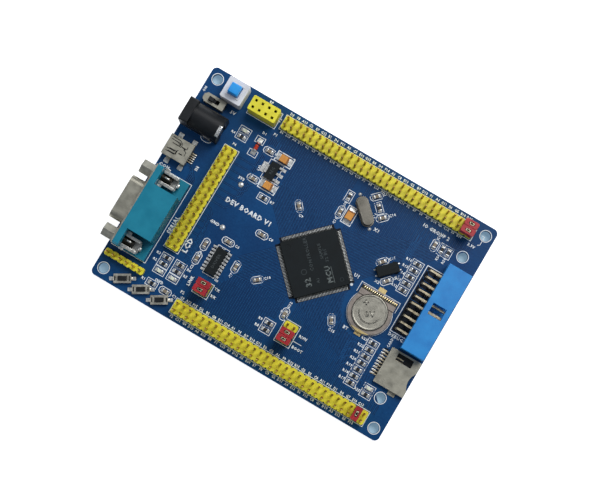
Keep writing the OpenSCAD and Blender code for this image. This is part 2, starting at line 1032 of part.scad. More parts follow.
module serial_jackscrews() {
  color("silver")
    on_serial()
      for (k = [-1, 1])
        translate([serial_front, k * screw_span / 2, serial_z])
          rotate([0, 90, 0])
            difference() {
              union() {
                translate([0, 0, -screw_l])
                  cylinder(d = screw_af / cos(30), h = screw_l, $fn = 6);
                cylinder(d = screw_hole - 2 * lead_fit, h = 6.5);
              }
              translate([0, 0, -screw_l - eps])
                cylinder(d = screw_bore, h = 5);
            }
}

lock_x = 10.9;

module serial_board_locks() {
  color("silver")
    on_serial()
      for (k = [-1, 1])
        translate([serial_step, k * screw_span / 2, 0]) {
          translate([0, -2.3, 3.6])
            cube([lock_x - serial_step + 0.25, 4.6, 0.5]);
          for (j = [-1, 1])
            translate([(lock_x - serial_step) / 2 + 0.125, j * 2.05, 3.6])
              slab(lock_x - serial_step + 0.25, 0.5, 4);
          translate([lock_x - serial_step, 0, -pin_down])
            slab(0.5, 2.4, pin_down + 4);
        }
}

// ---- Debug connector ----

debug_z = debug_h / 2;
debug_low = debug_z - pitch / 2;
debug_high = debug_z + pitch / 2;
debug_x = debug_edge + debug_l;

module on_debug() {
  seat(-debug_x, debug_y)
    children();
}

module debug_housing() {
  color("dodgerblue")
    on_debug()
      difference() {
        linear_extrude(debug_h)
          translate([debug_l / 2, 0])
            square([debug_l, debug_w], center = true);
        translate([debug_back, -debug_w / 2 + debug_wall, debug_wall])
          cube([debug_l, debug_w - 2 * debug_wall, debug_h - 2 * debug_wall]);
        translate([debug_back, -key_w / 2, debug_z])
          cube([key_l, key_w, debug_h]);
        for (k = [0 : debug_count - 1], z = [debug_low, debug_high])
          translate([debug_back / 2, (k - (debug_count - 1) / 2) * pitch, z - pin_w / 2 - pin_fit])
            slab(debug_back + 1, pin_w + 2 * pin_fit, pin_w + 2 * pin_fit);
      }
}

module bent_pin(z, run) {
  c = pin_w / 4;
  tip = debug_l - 1.5;
  translate([0, pin_w / 2, 0])
    rotate([90, 0, 0])
      linear_extrude(pin_w)
        polygon([
          [tip, z - c], [tip, z + c], [tip - 2 * c, z + pin_w / 2],
          [-run, z + pin_w / 2], [-run - pin_w / 2, z],
          [-run - pin_w / 2, -pin_down + 2 * c], [-run - c, -pin_down], [-run + c, -pin_down],
          [-run + pin_w / 2, -pin_down + 2 * c], [-run + pin_w / 2, z - pin_w / 2],
          [tip - 2 * c, z - pin_w / 2]
        ]);
}

module debug_pins() {
  color("goldenrod")
    on_debug()
      for (k = [0 : debug_count - 1])
        translate([0, (k - (debug_count - 1) / 2) * pitch, 0]) {
          bent_pin(debug_low, debug_run);
          bent_pin(debug_high, debug_run + pitch);
        }
}

debug_run = 1.9;

// ---- Card socket ----

module on_card() {
  seat(-card_l - 0.1, card_y)
    children();
}

module card_socket_shell() {
  color("silver")
    on_card() {
      difference() {
        translate([0, -card_w / 2, 0])
          cube([card_l, card_w, card_h]);
        translate([card_t, -card_w / 2 + card_t, -eps])
          cube([card_l, card_w - 2 * card_t, card_h - card_t + eps]);
        translate([2.9, card_w / 2 - 3.4, card_h / 2])
          cube([6, 2.7, card_h]);
        translate([card_l + 4.6, -0.7, card_h / 2])
          cylinder(r = 4.6 + card_notch, h = card_h);
        translate([-1, -5.6, -eps])
          cube([2, 11.3, 0.7]);
      }
      translate([card_l * 0.66, -card_w / 2 - 0.8 + card_t / 2, 0])
        slab(2.8, 1.6, 0.3);
    }
}

module card_contact_spots() {
  for (k = [0 : 8])
    translate([0, (k - 4) * 1.1])
      children();
}

module card_socket_base() {
  color("#202226")
    on_card()
      difference() {
        union() {
          translate([card_t + small_gap, -card_w / 2 + card_t + small_gap, 0])
            cube([card_l - card_t - 1.6, card_w - 2 * card_t - 2 * small_gap, 0.55]);
          translate([card_t + small_gap, -card_w / 2 + card_t + small_gap, 0])
            cube([1.2, card_w - 2 * card_t - 2 * small_gap, card_h - card_t - small_gap]);
        }
        card_contact_spots()
          translate([-1, -0.25, -eps])
            cube([7.2, 0.5, 0.66]);
      }
}

module card_socket_contacts() {
  color("goldenrod")
    on_card()
      card_contact_spots() {
        translate([-1.8, -0.2, 0])
          cube([5, 0.4, 0.15]);
        translate([2.8, -0.2, 0])
          cube([0.2, 0.4, 0.6]);
        translate([2.8, -0.2, 0.56])
          cube([3, 0.4, 0.15]);
      }
}

// ---- Battery ----

module on_coin() {
  seat(-coin_x, coin_y)
    children();
}

holder_floor = 0.3;
tooth_pitch = 0.78;
holder_d = coin_d + 2 * coin_gap + 2 * holder_rim;
bar_y = holder_d / 2 - 1.2;
tooth_count = floor((holder_d - 2) / tooth_pitch);

module battery_holder() {
  color("rosybrown")
    on_coin() {
      difference() {
        union() {
          cylinder(d = holder_d, h = holder_h - 0.5);
          translate([-holder_d / 2 + 0.8, bar_y - 2.4, 0])
            cube([holder_d - 1.6, 3.5, holder_h]);
        }
        translate([0, 0, holder_floor])
          cylinder(d = coin_d + 2 * coin_gap, h = holder_h + coin_t);
        translate([0, 0, -eps])
          cylinder(d = 5, h = holder_h);
        for (k = [0 : tooth_count - 1])
          translate([(k - (tooth_count - 1) / 2) * tooth_pitch, bar_y + 0.55, holder_h - 0.5])
            slab(tooth_pitch * 0.45, 1.1, 1);
      }
      translate([0, holder_d / 2 + 0.6, 0])
        slab(2.8, 2.6, holder_floor);
      translate([0, -holder_d / 2 - 0.2, 0])
        slab(2.4, 1.9, holder_floor);
    }
}

module coin_cell() {
  color("gainsboro")
    on_coin()
      translate([0, 0, holder_floor + small_gap]) {
        cylinder(d = coin_d - 0.6, h = 0.3);
        translate([0, 0, 0.3])
          cylinder(d = coin_d, h = coin_t - 0.45);
        translate([0, 0, coin_t - 0.15 - eps])
          cylinder(d1 = coin_d, d2 = coin_d - 0.3, h = 0.15 + eps);
      }
}

// ---- Chips ----

module on_controller() {
  seat(mcu_x, mcu_y, 45)
    children();
}

module controller_package() {
  low = 0.1;
  high = low + mcu_h;
  color("#202226")
    on_controller()
      difference() {
        moulded(mcu_w, mcu_w, low, high, 0.15);
        translate([mcu_w / 2 - 1.8, -mcu_w / 2 + 1.8, high - 0.06])
          cylinder(r = 0.7, h = 1);
        translate([-mcu_w / 2 + 2.4, mcu_w / 2 - 2.4, high - 0.06])
          cylinder(r = 1, h = 1);
      }
}

// A gull-wing lead that leaves a body at height z and stands on the board.
module gull_lead(start, reach, z, t, w) {
  knee = start + (reach - start) * 0.45;
  translate([0, w / 2, 0])
    rotate([90, 0, 0])
      linear_extrude(w)
        polygon([
          [start, z + t / 2], [knee, z + t / 2], [knee + t, t],
          [reach, t], [reach, 0], [knee + t * 0.2, 0],
          [knee - t * 0.8, z - t / 2], [start, z - t / 2]
        ]);
}

module controller_leads() {
  color("silver")
    on_controller()
      for (side = [0 : 3], k = [0 : mcu_leads - 1])
        rotate([0, 0, side * 90])
          translate([0, (k - (mcu_leads - 1) / 2) * mcu_pitch, 0])
            gull_lead(mcu_w / 2, mcu_w / 2 + 1, 0.1 + mcu_h / 2, 0.14, 0.22);
}

driver_x = 35.5;
driver_y = 25.2;

module transceiver_package() {
  color("#202226")
    seat(driver_x, driver_y)
      difference() {
        moulded(driver_w, driver_l, 0.1, 1.55, 0.12);
        translate([-driver_w / 2 + 0.9, driver_l / 2 - 0.9, 1.5])
          cylinder(r = 0.4, h = 1);
      }
}

module transceiver_leads() {
  color("silver")
    seat(driver_x, driver_y)
      for (side = [0, 180], k = [0 : 7])
        rotate([0, 0, side])
          translate([0, (k - 3.5) * 1.27, 0])
            gull_lead(driver_w / 2, driver_w / 2 + 1.05, 0.825, 0.2, 0.42);
}

regulator_x = 36.1;
regulator_y = 21.9;

module regulator_package() {
  color("#202226")
    seat(regulator_x, -regulator_y)
      moulded(3.5, 6.5, 0.05, 1.65, 0.15);
}

module regulator_leads() {
  color("silver")
    seat(regulator_x, -regulator_y) {
      for (k = [-1 : 1])
        translate([0, k * 2.3, 0])
          gull_lead(1.75, 3.5, 0.85, 0.26, 0.72);
      rotate([0, 0, 180])
        gull_lead(1.75, 3.5, 0.85, 0.26, 3);
    }
}

module tantalum() {
  moulded(3.3, 2.7, 0.1, 1.9, 0.1);
  for (k = [-1, 1])
    translate([k * 1.6, 0, 0]) {
      translate([k * 0.05, 0, 0])
        slab(0.3, 2.2, 1);
      translate([-k * 0.35, 0, 0])
        slab(0.8, 2.2, 0.12);
    }
}

module tantalum_capacitors() {
  color("orange") {
    seat(37.7, -16.2)
      tantalum();
    seat(37.5, -27)
      tantalum();
    seat(67, -21.5, 90)
      tantalum();
  }
}

crystal_pins = 4.88;

module crystal_seat() {
  seat(70.8, -17.6, -43)
    children();
}

module main_crystal() {
  color("silver")
    crystal_seat() {
      linear_extrude(0.45)
        stadium(crystal_l, crystal_w);
      linear_extrude(crystal_h)
        stadium(crystal_l - 0.8, crystal_w - 0.8);
      for (k = [-1, 1])
        translate([k * crystal_pins / 2, 0, -pin_down])
          cylinder(d = 0.43, h = pin_down + 0.1, $fn = 24);
    }
}

module clock_crystal() {
  color("#202226")
    seat(87.7 - board_l, 52.8, 45) {
      moulded(8, 3.8, 0.1, 2.5, 0.2);
      for (i = [-1, 1], j = [-1, 1])
        translate([i * 2.75, j * 1.9, 0])
          slab(0.6, 0.7, 0.5);
    }
}

module resistor() {
  slab(chip_l, chip_w, 0.5);
}

module capacitor() {
  slab(chip_l, chip_w, 1);
}

ladder = 2.56;

module chip_resistors() {
  color("dimgray") {
    for (k = [0 : 6])
      seat(-18.1, 13 + k * ladder)
        resistor();
    for (k = [0 : 4])
      seat(-18.6, 49.4 + k * ladder)
        resistor();
    for (x = [20.3, 25.6], y = [15.3, 17.8])
      seat(x, y)
        resistor();
    for (y = [13.7, 16.2])
      seat(62, y)
        resistor();
    for (x = [-13.9, -11.5])
      seat(x, -15.4, 90)
        resistor();
    seat(-11.5, 12.1)
      resistor();
    seat(20.8, -16.8)
      resistor();
    seat(38.2, 52.4)
      resistor();
    seat(20.3, 7.6)
      resistor();
    seat(63.5, -15.8, 90)
      resistor();
    seat(74.5, -14, -45)
      resistor();
  }
}

module chip_capacitors() {
  color("tan") {
    seat(31.8, -16.3)
      capacitor();
    seat(31.8, -27.4)
      capacitor();
    seat(44.3, 41.2)
      capacitor();
    seat(35.6, 33.2)
      capacitor();
    seat(25.7, 7.5)
      capacitor();
    for (y = [22.9, 28.4])
      seat(29.2, y, 90)
        capacitor();
    seat(42.3, 27.1, 90)
      capacitor();
    seat(63.5, -22, 90)
      capacitor();
    seat(65, 21.7, 90)
      capacitor();
    seat(-16.9, -15.4, 90)
      capacitor();
    seat(50.3, 56.3, -50)
      capacitor();
    seat(50.9, 27, 40)
      capacitor();
    seat(79.9, 28, -60)
      capacitor();
    seat(71.7, -11, 45)
      capacitor();
    seat(77.2, -16.4, 45)
      capacitor();
    seat(-29.5, 54.3, 48)
      capacitor();
    seat(-24.9, 49.3, 48)
      capacitor();
  }
}

module indicator_leds() {
  color("white")
    for (p = [[20.8, -14.4], [20.3, 12.6], [25.6, 12.6], [-11.5, 14.5]])
      seat(p[0], p[1]) {
        slab(chip_l, chip_w, 0.35);
        slab(chip_l * 0.6, chip_w, 0.8);
      }
}

module protection_diode() {
  color("orangered")
    seat(27.1, -17.1, 90)
      translate([-1.75, 0, 0.8])
        rotate([0, 90, 0]) {
          cylinder(d = 1.6, h = 0.4);
          translate([0, 0, 0.4])
            cylinder(d = 1.4, h = 2.7);
          translate([0, 0, 3.1])
            cylinder(d = 1.6, h = 0.4);
        }
}

// ---- Small push buttons ----

tact_l = 6;
tact_w = 3.2;
tact_turn = 30;
plunger_l = 3;
plunger_w = 1.5;

module tact_left() {
  seat(10.9, 3.85, tact_turn)
    children();
}

module tact_middle() {
  seat(18.3, 3.85, tact_turn)
    children();
}

module tact_right() {
  seat(25.6, 3.95, tact_turn)
    children();
}

module tact_frame() {
  difference() {
    union() {
      slab(tact_l, tact_w, 1.7);
      for (i = [-1, 1])
        translate([i * (tact_l / 2 + 0.2), 0, 0])
          slab(1, 1.2, 0.3);
    }
    translate([0, 0, 0.5])
      slab(plunger_l + 0.8, plunger_w + 0.8, 1);
    translate([0, 0, 0.5])
      slab(plunger_l + 2 * run_gap, plunger_w + 2 * run_gap, 2);
  }
}

module tact_plunger() {
  translate([0, 0, 0.5 + tact_travel + 0.05])
    slab(plunger_l, plunger_w, tact_top - 0.55 - tact_travel);
  translate([0, 0, 0.5 + tact_travel + 0.05])
    slab(plunger_l + 0.6, plunger_w + 0.6, 1 - tact_travel - 0.05 - small_gap);
}

module push_switch_frames() {
  color("silver") {
    tact_left()
      tact_frame();
    tact_middle()
      tact_frame();
    tact_right()
      tact_frame();
  }
}

module push_plunger_left() {
  color("#202226")
    tact_left()
      tact_plunger();
}

module push_plunger_middle() {
  color("#202226")
    tact_middle()
      tact_plunger();
}

module push_plunger_right() {
  color("#202226")
    tact_right()
      tact_plunger();
}

// ---- Circuit board ----

module board_outline() {
  round_rect(board_l, board_w, board_r);
}

module board_holes() {
  for (x = [hole_edge_x, -hole_edge_x], y = [hole_edge_y, -hole_edge_y])
    spot(x, y)
      circle(d = mount_d);
  for (y = [extra_low, -extra_top])
    spot(-extra_edge_x, y)
      circle(d = mount_d);
  spot(long_x, -top_y - pitch)
    hole_grid(long_count, 2, pin_hole_d);
  spot(long_x, bottom_y)
    hole_grid(long_count, 2, pin_hole_d);
  spot(display_x, display_y)
    hole_grid(2, display_count, pin_hole_d);
  spot(prog_x, prog_y)
    hole_grid(prog_count, 1, pin_hole_d);
  spot(serial_link_x, serial_link_y)
    hole_grid(2, 2, pin_hole_d);
  spot(boot_link_x, boot_link_y)
    hole_grid(2, 3, pin_hole_d);
  spot(radio_x, -radio_y - pitch)
    hole_grid(4, 2, pin_hole_d);
  spot(-debug_x - debug_run - pitch, debug_y - (debug_count - 1) / 2 * pitch)
    hole_grid(2, debug_count, pin_hole_d);
  spot(power_x, -power_y)
    power_pin_spots()
      square([leg_w + 2 * leg_gap, leg_t + 2 * leg_gap], center = true);
  spot(slide_x, -slide_y) {
    for (i = [-1 : 1])
      translate([i * 2, 0])
        circle(d = 0.9, $fn = 32);
    for (i = [-1, 1])
      translate([i * (slide_l / 2 - slide_t / 2), 0])
        square([0.6, 1.3], center = true);
  }
  spot(0.1, -jack_y)
    jack_blade_spots()
      square([blade_t + 2 * blade_gap, blade_w + 2 * blade_gap], center = true);
  spot(0, serial_y) {
    for (k = [0 : 4])
      translate([serial_row_x + row_gap, (k - 2) * pin_gap])
        circle(d = pin_hole_d, $fn = 32);
    for (k = [0 : 3])
      translate([serial_row_x, (k - 1.5) * pin_gap])
        circle(d = pin_hole_d, $fn = 32);
    for (k = [-1, 1])
      translate([lock_x, k * screw_span / 2])
        circle(d = 3.2);
  }
  spot(70.8, -17.6, -43)
    for (k = [-1, 1])
      translate([k * crystal_pins / 2, 0])
        circle(d = 0.7, $fn = 24);
}

module circuit_board() {
  color("#163A6B")
    linear_extrude(board_t)
      difference() {
        board_outline();
        board_holes();
      }
}

circuit_board();
top_header();
top_header_pins();
bottom_header();
bottom_header_pins();
display_header();
display_header_pins();
programming_header();
link_headers();
small_header_pins();
top_jumper_upper();
top_jumper_lower();
bottom_jumper();
serial_jumper_upper();
serial_jumper_lower();
boot_jumper_upper();
boot_jumper_lower();
radio_socket();
radio_socket_contacts();
power_switch_housing();
power_switch_button();
power_switch_pins();
slide_switch_cover();
slide_switch_base();
slide_switch_knob();
power_jack_housing();
power_jack_contacts();
usb_shell();
usb_insert();
usb_contacts();
serial_housing();
serial_shell();
serial_contacts();
serial_jackscrews();
serial_board_locks();
debug_housing();
debug_pins();
card_socket_shell();
card_socket_base();
card_socket_contacts();
battery_holder();
coin_cell();
controller_package();
controller_leads();
transceiver_package();
transceiver_leads();
regulator_package();
regulator_leads();
tantalum_capacitors();
main_crystal();
clock_crystal();
chip_resistors();
chip_capacitors();
indicator_leds();
protection_diode();
push_switch_frames();
push_plunger_left();
push_plunger_middle();
push_plunger_right();
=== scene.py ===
# %% [markdown]
# # A microcontroller development board
# The mechanical model already holds every solid of this board in its place:
# the laminate, the headers, the connectors and the chips. This lesson gives
# each of them the finish of the real thing, and adds what a mechanical model
# leaves out: copper tracks under the mask, white ink, solder, marks and dirt.
# Everything is in metres and in the frame of the mechanical model.

# %% Load the board and keep its box
import json
import math
import random

import bmesh
import bpy
from mathutils import Matrix, Vector


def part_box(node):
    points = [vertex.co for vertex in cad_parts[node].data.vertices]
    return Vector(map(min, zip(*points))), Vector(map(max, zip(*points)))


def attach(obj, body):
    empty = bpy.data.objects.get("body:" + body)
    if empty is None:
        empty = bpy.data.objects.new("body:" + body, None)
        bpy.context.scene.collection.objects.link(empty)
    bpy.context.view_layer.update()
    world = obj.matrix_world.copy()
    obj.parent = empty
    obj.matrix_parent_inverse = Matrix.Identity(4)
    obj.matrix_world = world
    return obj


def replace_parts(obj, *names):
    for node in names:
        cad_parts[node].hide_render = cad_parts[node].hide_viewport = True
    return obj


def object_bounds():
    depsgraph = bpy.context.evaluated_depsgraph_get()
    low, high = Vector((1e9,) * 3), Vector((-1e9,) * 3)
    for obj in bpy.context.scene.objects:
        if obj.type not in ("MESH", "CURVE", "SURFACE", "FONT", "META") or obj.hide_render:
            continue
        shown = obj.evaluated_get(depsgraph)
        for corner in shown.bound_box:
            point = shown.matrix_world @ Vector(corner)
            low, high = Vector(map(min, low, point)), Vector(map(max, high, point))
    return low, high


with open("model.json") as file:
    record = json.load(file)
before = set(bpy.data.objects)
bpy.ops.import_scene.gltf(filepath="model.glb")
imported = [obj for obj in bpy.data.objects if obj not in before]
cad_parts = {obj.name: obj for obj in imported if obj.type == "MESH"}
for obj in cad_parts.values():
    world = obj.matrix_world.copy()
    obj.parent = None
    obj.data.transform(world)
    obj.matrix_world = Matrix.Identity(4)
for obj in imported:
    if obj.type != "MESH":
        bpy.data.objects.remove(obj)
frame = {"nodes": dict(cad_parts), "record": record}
nodes = frame["nodes"]
cad_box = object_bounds()
MM = 0.001
body_of = {name: body for body, names in frame["record"]["behaviour"]["bodies"].items()
           for name in names}
print("solids carried over:", len(nodes))

# %% [markdown]
# ## The camera
# The board lies flat and is looked at from almost straight above, turned so
# that its long edge runs down to the right. A long lens keeps the two long
# headers nearly parallel, as a product picture does. The camera comes before
# anything else, so that each later step can be judged from the same place.

# %% Place the camera
eye = Vector((24.22, -39.09, 516.21)) * MM
aim = Vector((3.33, 2.17, 1.6)) * MM
picture_up = Vector((-0.5074, 0.8571, 0.0893))

lens = bpy.data.cameras.new("bench_camera")
lens.sensor_width, lens.lens = 36, 88.1
lens.clip_start, lens.clip_end = 0.05, 5
camera = bpy.data.objects.new("bench_camera", lens)
back = (eye - aim).normalized()
right = picture_up.cross(back).normalized()
turned = Matrix((right, back.cross(right), back)).transposed().to_4x4()
camera.matrix_world = Matrix.Translation(eye) @ turned
bpy.context.scene.collection.objects.link(camera)
bpy.context.scene.camera = camera
print("distance to the board in mm:", round((eye - aim).length / MM))

# %% [markdown]
# ## Table and light
# A white table and large soft lights stand in for a light tent. The main
# light comes from beyond the top header, so small parts throw a short soft
# shadow towards the bottom header. The table is white card with a little
# glow of its own, which keeps it clean right up to the board's edge.

# %% Sockets that do sums
class Wire:
    """A socket whose arithmetic adds Math nodes, so patterns read as formulas."""

    def __init__(self, tree, socket=None):
        self.tree, self.socket = tree, socket

    def node(self, kind, settings=None, inputs=None, output=0):
        made = self.tree.nodes.new(kind)
        for name, value in (settings or {}).items():
            if name == "stops":
                stops = made.color_ramp.elements
                for i, (place, colour) in enumerate(value):
                    stop = stops[i] if i < 2 else stops.new(place)
                    stop.position, stop.color = place, colour
            else:
                setattr(made, name, value)
        for name, value in (inputs or {}).items():
            if isinstance(value, Wire):
                self.tree.links.new(value.socket, made.inputs[name])
            else:
                made.inputs[name].default_value = value
        return Wire(self.tree, made.outputs[output])

    def math(self, operation, *values):
        return self.node("ShaderNodeMath", {"operation": operation}, dict(enumerate(values)))

    def __add__(self, other):
        return self.math("ADD", self, other)

    def __sub__(self, other):
        return self.math("SUBTRACT", self, other)

    def __rsub__(self, other):
        return self.math("SUBTRACT", other, self)

    def __mul__(self, other):
        return self.math("MULTIPLY", self, other)

    def __truediv__(self, other):
        return self.math("DIVIDE", self, other)

    def __rtruediv__(self, other):
        return self.math("DIVIDE", other, self)

    __radd__, __rmul__ = __add__, __mul__

    def between(self, low, high):
        """0 below low, 1 above high, and smooth between."""
        return self.node("ShaderNodeMapRange", {"interpolation_type": "SMOOTHSTEP"},
                         {0: self, 1: low, 2: high})

    def axis(self, letter):
        return self.node("ShaderNodeSeparateXYZ", inputs={0: self}, output="XYZ".index(letter))

    def grain(self, size, detail=2.0, stretch=(1, 1, 1)):
        """Noise with lumps about `size` metres across, drawn out along an axis by stretch."""
        scaled = self.node("ShaderNodeMapping", inputs={
            "Vector": self, "Scale": [1 / (size * s) for s in stretch]})
        return self.node("ShaderNodeTexNoise", inputs={
            "Vector": scaled, "Scale": 1.0, "Detail": detail})

    def colours(self, low, high, way="MIX"):
        """The colour low where this wire is 0 and high where it is 1."""
        return self.node("ShaderNodeMix", {"data_type": "RGBA", "blend_type": way},
                         {0: self, 6: low, 7: high}, output=2)

    def relief(self, depth, strength=1.0):
        """A bump whose highest point stands `depth` metres above its lowest."""
        return self.node("ShaderNodeBump", inputs={
            "Height": self, "Distance": depth, "Strength": strength}, output=0)


def paint(red, green, blue):
    """A colour given as a screen shows it, turned into the light values a shader uses."""
    return tuple(((c / 255 + 0.055) / 1.055) ** 2.4 if c > 10 else c / 3294
                 for c in (red, green, blue)) + (1.0,)


def new_finish(name, **fixed):
    """A material with one shader. Fixed values go on the shader's own sockets."""
    made = bpy.data.materials.new(name)
    made.use_nodes = True
    shader = made.node_tree.nodes["Principled BSDF"]
    for socket, value in fixed.items():
        shader.inputs[socket.replace("_", " ")].default_value = value
    place = Wire(made.node_tree).node("ShaderNodeTexCoord", output="Object")
    return made, shader, place


def feed(shader, **wires):
    for socket, wire in wires.items():
        wire.tree.links.new(wire.socket, shader.inputs[socket.replace("_", " ")])


print("a mid grey in light values:", round(paint(128, 128, 128)[0], 3))

# %% The white table
card, card_shader, on_card = new_finish(
    "white_card", Roughness=0.8, Emission_Strength=0.8, Emission_Color=paint(255, 255, 255))
feed(card_shader, Base_Color=on_card.grain(0.004, 4).colours(
    paint(236, 238, 241), paint(246, 247, 248)))

table = bmesh.new()
bmesh.ops.create_grid(table, x_segments=8, y_segments=8, size=3.0)
bmesh.ops.translate(table, verts=table.verts, vec=(0, 0, cad_box[0].z - 0.00005))
mesh = bpy.data.meshes.new("white_table")
table.to_mesh(mesh)
table.free()
mesh.materials.append(card)
white_table = bpy.data.objects.new("white_table", mesh)
bpy.context.scene.collection.objects.link(white_table)
print("table height in mm:", round(cad_box[0].z / MM, 2))

# %% Painted shade under the board: a glowing blue-grey card
# The card is painted shade. Seen through the mounting holes, it stands for the shade under the board, and it glows so
# that this shade stays pale grey-blue.
under, under_shader, on_under = new_finish(
    "hole_shade_card", Roughness=0.9, Emission_Strength=0.38, Emission_Color=paint(150, 186, 208))
feed(under_shader, Base_Color=on_under.grain(0.002, 4).colours(
    paint(168, 196, 212), paint(184, 208, 222)))
board_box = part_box("circuit_board")
sheet = bmesh.new()
bmesh.ops.create_grid(sheet, x_segments=2, y_segments=2, size=0.5)
bmesh.ops.scale(sheet, verts=sheet.verts, vec=[
    board_box[1][i] - board_box[0][i] - 0.002 for i in (0, 1)] + [1])
bmesh.ops.translate(sheet, verts=sheet.verts, vec=(0, 0, cad_box[0].z - 0.00002))
mesh = bpy.data.meshes.new("hole_shade_card")
sheet.to_mesh(mesh)
sheet.free()
mesh.materials.append(under)
hole_shade_sheet = bpy.data.objects.new("hole_shade_card", mesh)
bpy.context.scene.collection.objects.link(hole_shade_sheet)
print("card under the board, one millimetre smaller on each side")

# %% The soft lights
def soft_light(name, place, size, power, colour):
    light = bpy.data.lights.new(name, "AREA")
    light.shape, light.size, light.energy = "DISK", size, power
    light.color = colour
    lamp = bpy.data.objects.new(name, light)
    lamp.location = place
    lamp.rotation_euler = (-Vector(place)).to_track_quat("-Z", "Y").to_euler()
    bpy.context.scene.collection.objects.link(lamp)
    return lamp


soft_light("window", (0.12, 0.42, 0.62), 0.5, 4.2, (1.0, 0.99, 0.97))
soft_light("fill", (-0.55, -0.25, 0.6), 0.6, 1.2, (0.93, 0.96, 1.0))
sky = bpy.data.worlds.new("tent")
sky.use_nodes = True
sky.node_tree.nodes["Background"].inputs["Color"].default_value = (0.86, 0.92, 1.0, 1.0)
sky.node_tree.nodes["Background"].inputs["Strength"].default_value = 0.22
bpy.context.scene.world = sky
bpy.context.scene.view_settings.view_transform = "Standard"

# %% [markdown]
# ## Moulded plastic
# Headers, caps and housings are injection moulded. Close up, such plastic has
# a fine eroded grain from the mould, slow colour changes where it cooled
# unevenly, and a sheen that is never even. One recipe serves all of them,
# with a different colour, grain and gloss for each.

# %% A recipe for moulded plastic
def moulded_plastic(name, colour, dark, rough=0.45, grain=0.00012, depth=0.000012, cloud=0.004,
                    **fixed):
    made, shader, place = new_finish(name, **fixed)
    clouds = place.grain(cloud, 3)
    specks = place.grain(grain, 2)
    feed(shader,
         Base_Color=(clouds * 0.75 + specks * 0.35).between(0.25, 0.85).colours(dark, colour),
         Roughness=rough + (specks - 0.5) * 0.25 + (clouds - 0.5) * 0.2,
         Normal=specks.relief(depth))
    return made


yellow_nylon = moulded_plastic("yellow_nylon", paint(242, 234, 54), paint(214, 203, 34), 0.42)
red_nylon = moulded_plastic("red_nylon", paint(190, 30, 44), paint(140, 16, 30), 0.4)
white_plastic = moulded_plastic("white_plastic", paint(232, 234, 240), paint(206, 208, 216), 0.4)
button_plastic = moulded_plastic("button_plastic", paint(30, 168, 248), paint(10, 132, 220), 0.35)
black_plastic = moulded_plastic("black_plastic", paint(22, 26, 31), paint(12, 15, 19), 0.45,
                                Specular_IOR_Level=0.3)
teal_plastic = moulded_plastic("teal_plastic", paint(12, 132, 160), paint(7, 118, 146), 0.4,
                               Specular_IOR_Level=0.35)
blue_plastic = moulded_plastic("blue_plastic", paint(26, 146, 222), paint(14, 122, 200), 0.42)
package_plastic = moulded_plastic("package_plastic", paint(24, 31, 35), paint(15, 21, 24), 0.6,
                                  grain=0.00006, depth=0.000008, Specular_IOR_Level=0.18)
orange_plastic = moulded_plastic("orange_plastic", paint(222, 156, 66), paint(196, 126, 44), 0.5)
print("plastics made:", len(bpy.data.materials) - 1)

# %% [markdown]
# ## Plated metal
# Shells and contacts are thin sheet that was rolled, stamped and plated. It
# keeps faint lines along the rolling direction and dull patches where the
# plating is thin or has been handled, so neither colour nor gloss is even.

# %% A recipe for plated metal
def plated_metal(name, colour, dull, rough=0.3, lines=(1, 1, 12), size=0.00008, patches=0.0012,
                 metallic=1.0):
    made, shader, place = new_finish(name, Metallic=metallic)
    rolled = place.grain(size, 2, lines)
    worn = place.grain(patches, 4)
    feed(shader,
         Base_Color=(worn * 0.6 + rolled * 0.5).between(0.3, 0.8).colours(dull, colour),
         Roughness=rough + (rolled - 0.5) * 0.2 + (worn - 0.5) * 0.3,
         Normal=rolled.relief(0.000004))
    return made


gold_pins = plated_metal("gold_pins", paint(226, 186, 104), paint(150, 112, 52), 0.32)
pale_pins = plated_metal("pale_pins", paint(214, 204, 178), paint(140, 128, 104), 0.36)
tin_plate = plated_metal("tin_plate", paint(226, 226, 222), paint(164, 164, 160), 0.34)
shell_steel = plated_metal("shell_steel", paint(172, 170, 158), paint(148, 146, 135), 0.42,
                           lines=(14, 1, 1), patches=0.003)
can_steel = plated_metal("can_steel", paint(128, 125, 118), paint(106, 104, 97), 0.36,
                         lines=(1, 9, 1), patches=0.003)
frame_steel = plated_metal("frame_steel", paint(206, 203, 192), paint(166, 163, 153), 0.38,
                           lines=(14, 1, 1), patches=0.002)
print("metals made:", [m.name for m in bpy.data.materials if "_" in m.name][-5:])

# %% Metals that change along the part
def tinted(name, axis, bands, colour, other, rough):
    """Sheet metal in one colour, and in another wherever the axis lies inside a band."""
    made, shader, place = new_finish(name, Metallic=1.0)
    along = place.axis(axis)
    inside = sum(along.between(low * MM, (low + 0.2) * MM) * (1 - along.between((high - 0.2) * MM, high * MM))
                 for low, high in bands)
    worn = place.grain(0.0014, 4)
    rolled = place.grain(0.0001, 2, (6, 1, 1))
    feed(shader,
         Base_Color=(1 - (1 - worn) * 0.5).colours(paint(60, 56, 52), inside.colours(colour, other)),
         Roughness=rough + (rolled - 0.5) * 0.25 + (worn - 0.5) * 0.3,
         Normal=rolled.relief(0.000005))
    return made


coin_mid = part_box("coin_cell")[0].lerp(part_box("coin_cell")[1], 0.5)
mid_y = coin_mid.y / MM
holder_steel = tinted("holder_steel", "Y", [(mid_y - 12, mid_y - 6.7), (mid_y + 7.95, mid_y + 12)],
                      paint(160, 151, 145), paint(226, 204, 146), 0.42)
screw_steel = tinted("screw_steel", "X", [(-52.5, 0)], paint(190, 190, 180), paint(48, 46, 42), 0.5)
print("tinted metals: 2")

# %% Dress the solids that keep their shape
def dress(finish, *names):
    for name in names:
        for held in nodes[name].material_slots:
            held.material = finish


dress(gold_pins, "top_header_pins", "bottom_header_pins", "display_header_pins",
      "small_header_pins", "radio_socket_contacts", "serial_contacts")
dress(pale_pins, "debug_pins", "card_socket_contacts", "usb_contacts")
dress(tin_plate, "power_switch_pins", "power_jack_contacts", "controller_leads",
      "transceiver_leads", "regulator_leads", "serial_board_locks")
dress(black_plastic, "slide_switch_base", "card_socket_base", "usb_insert")
print("dressed")

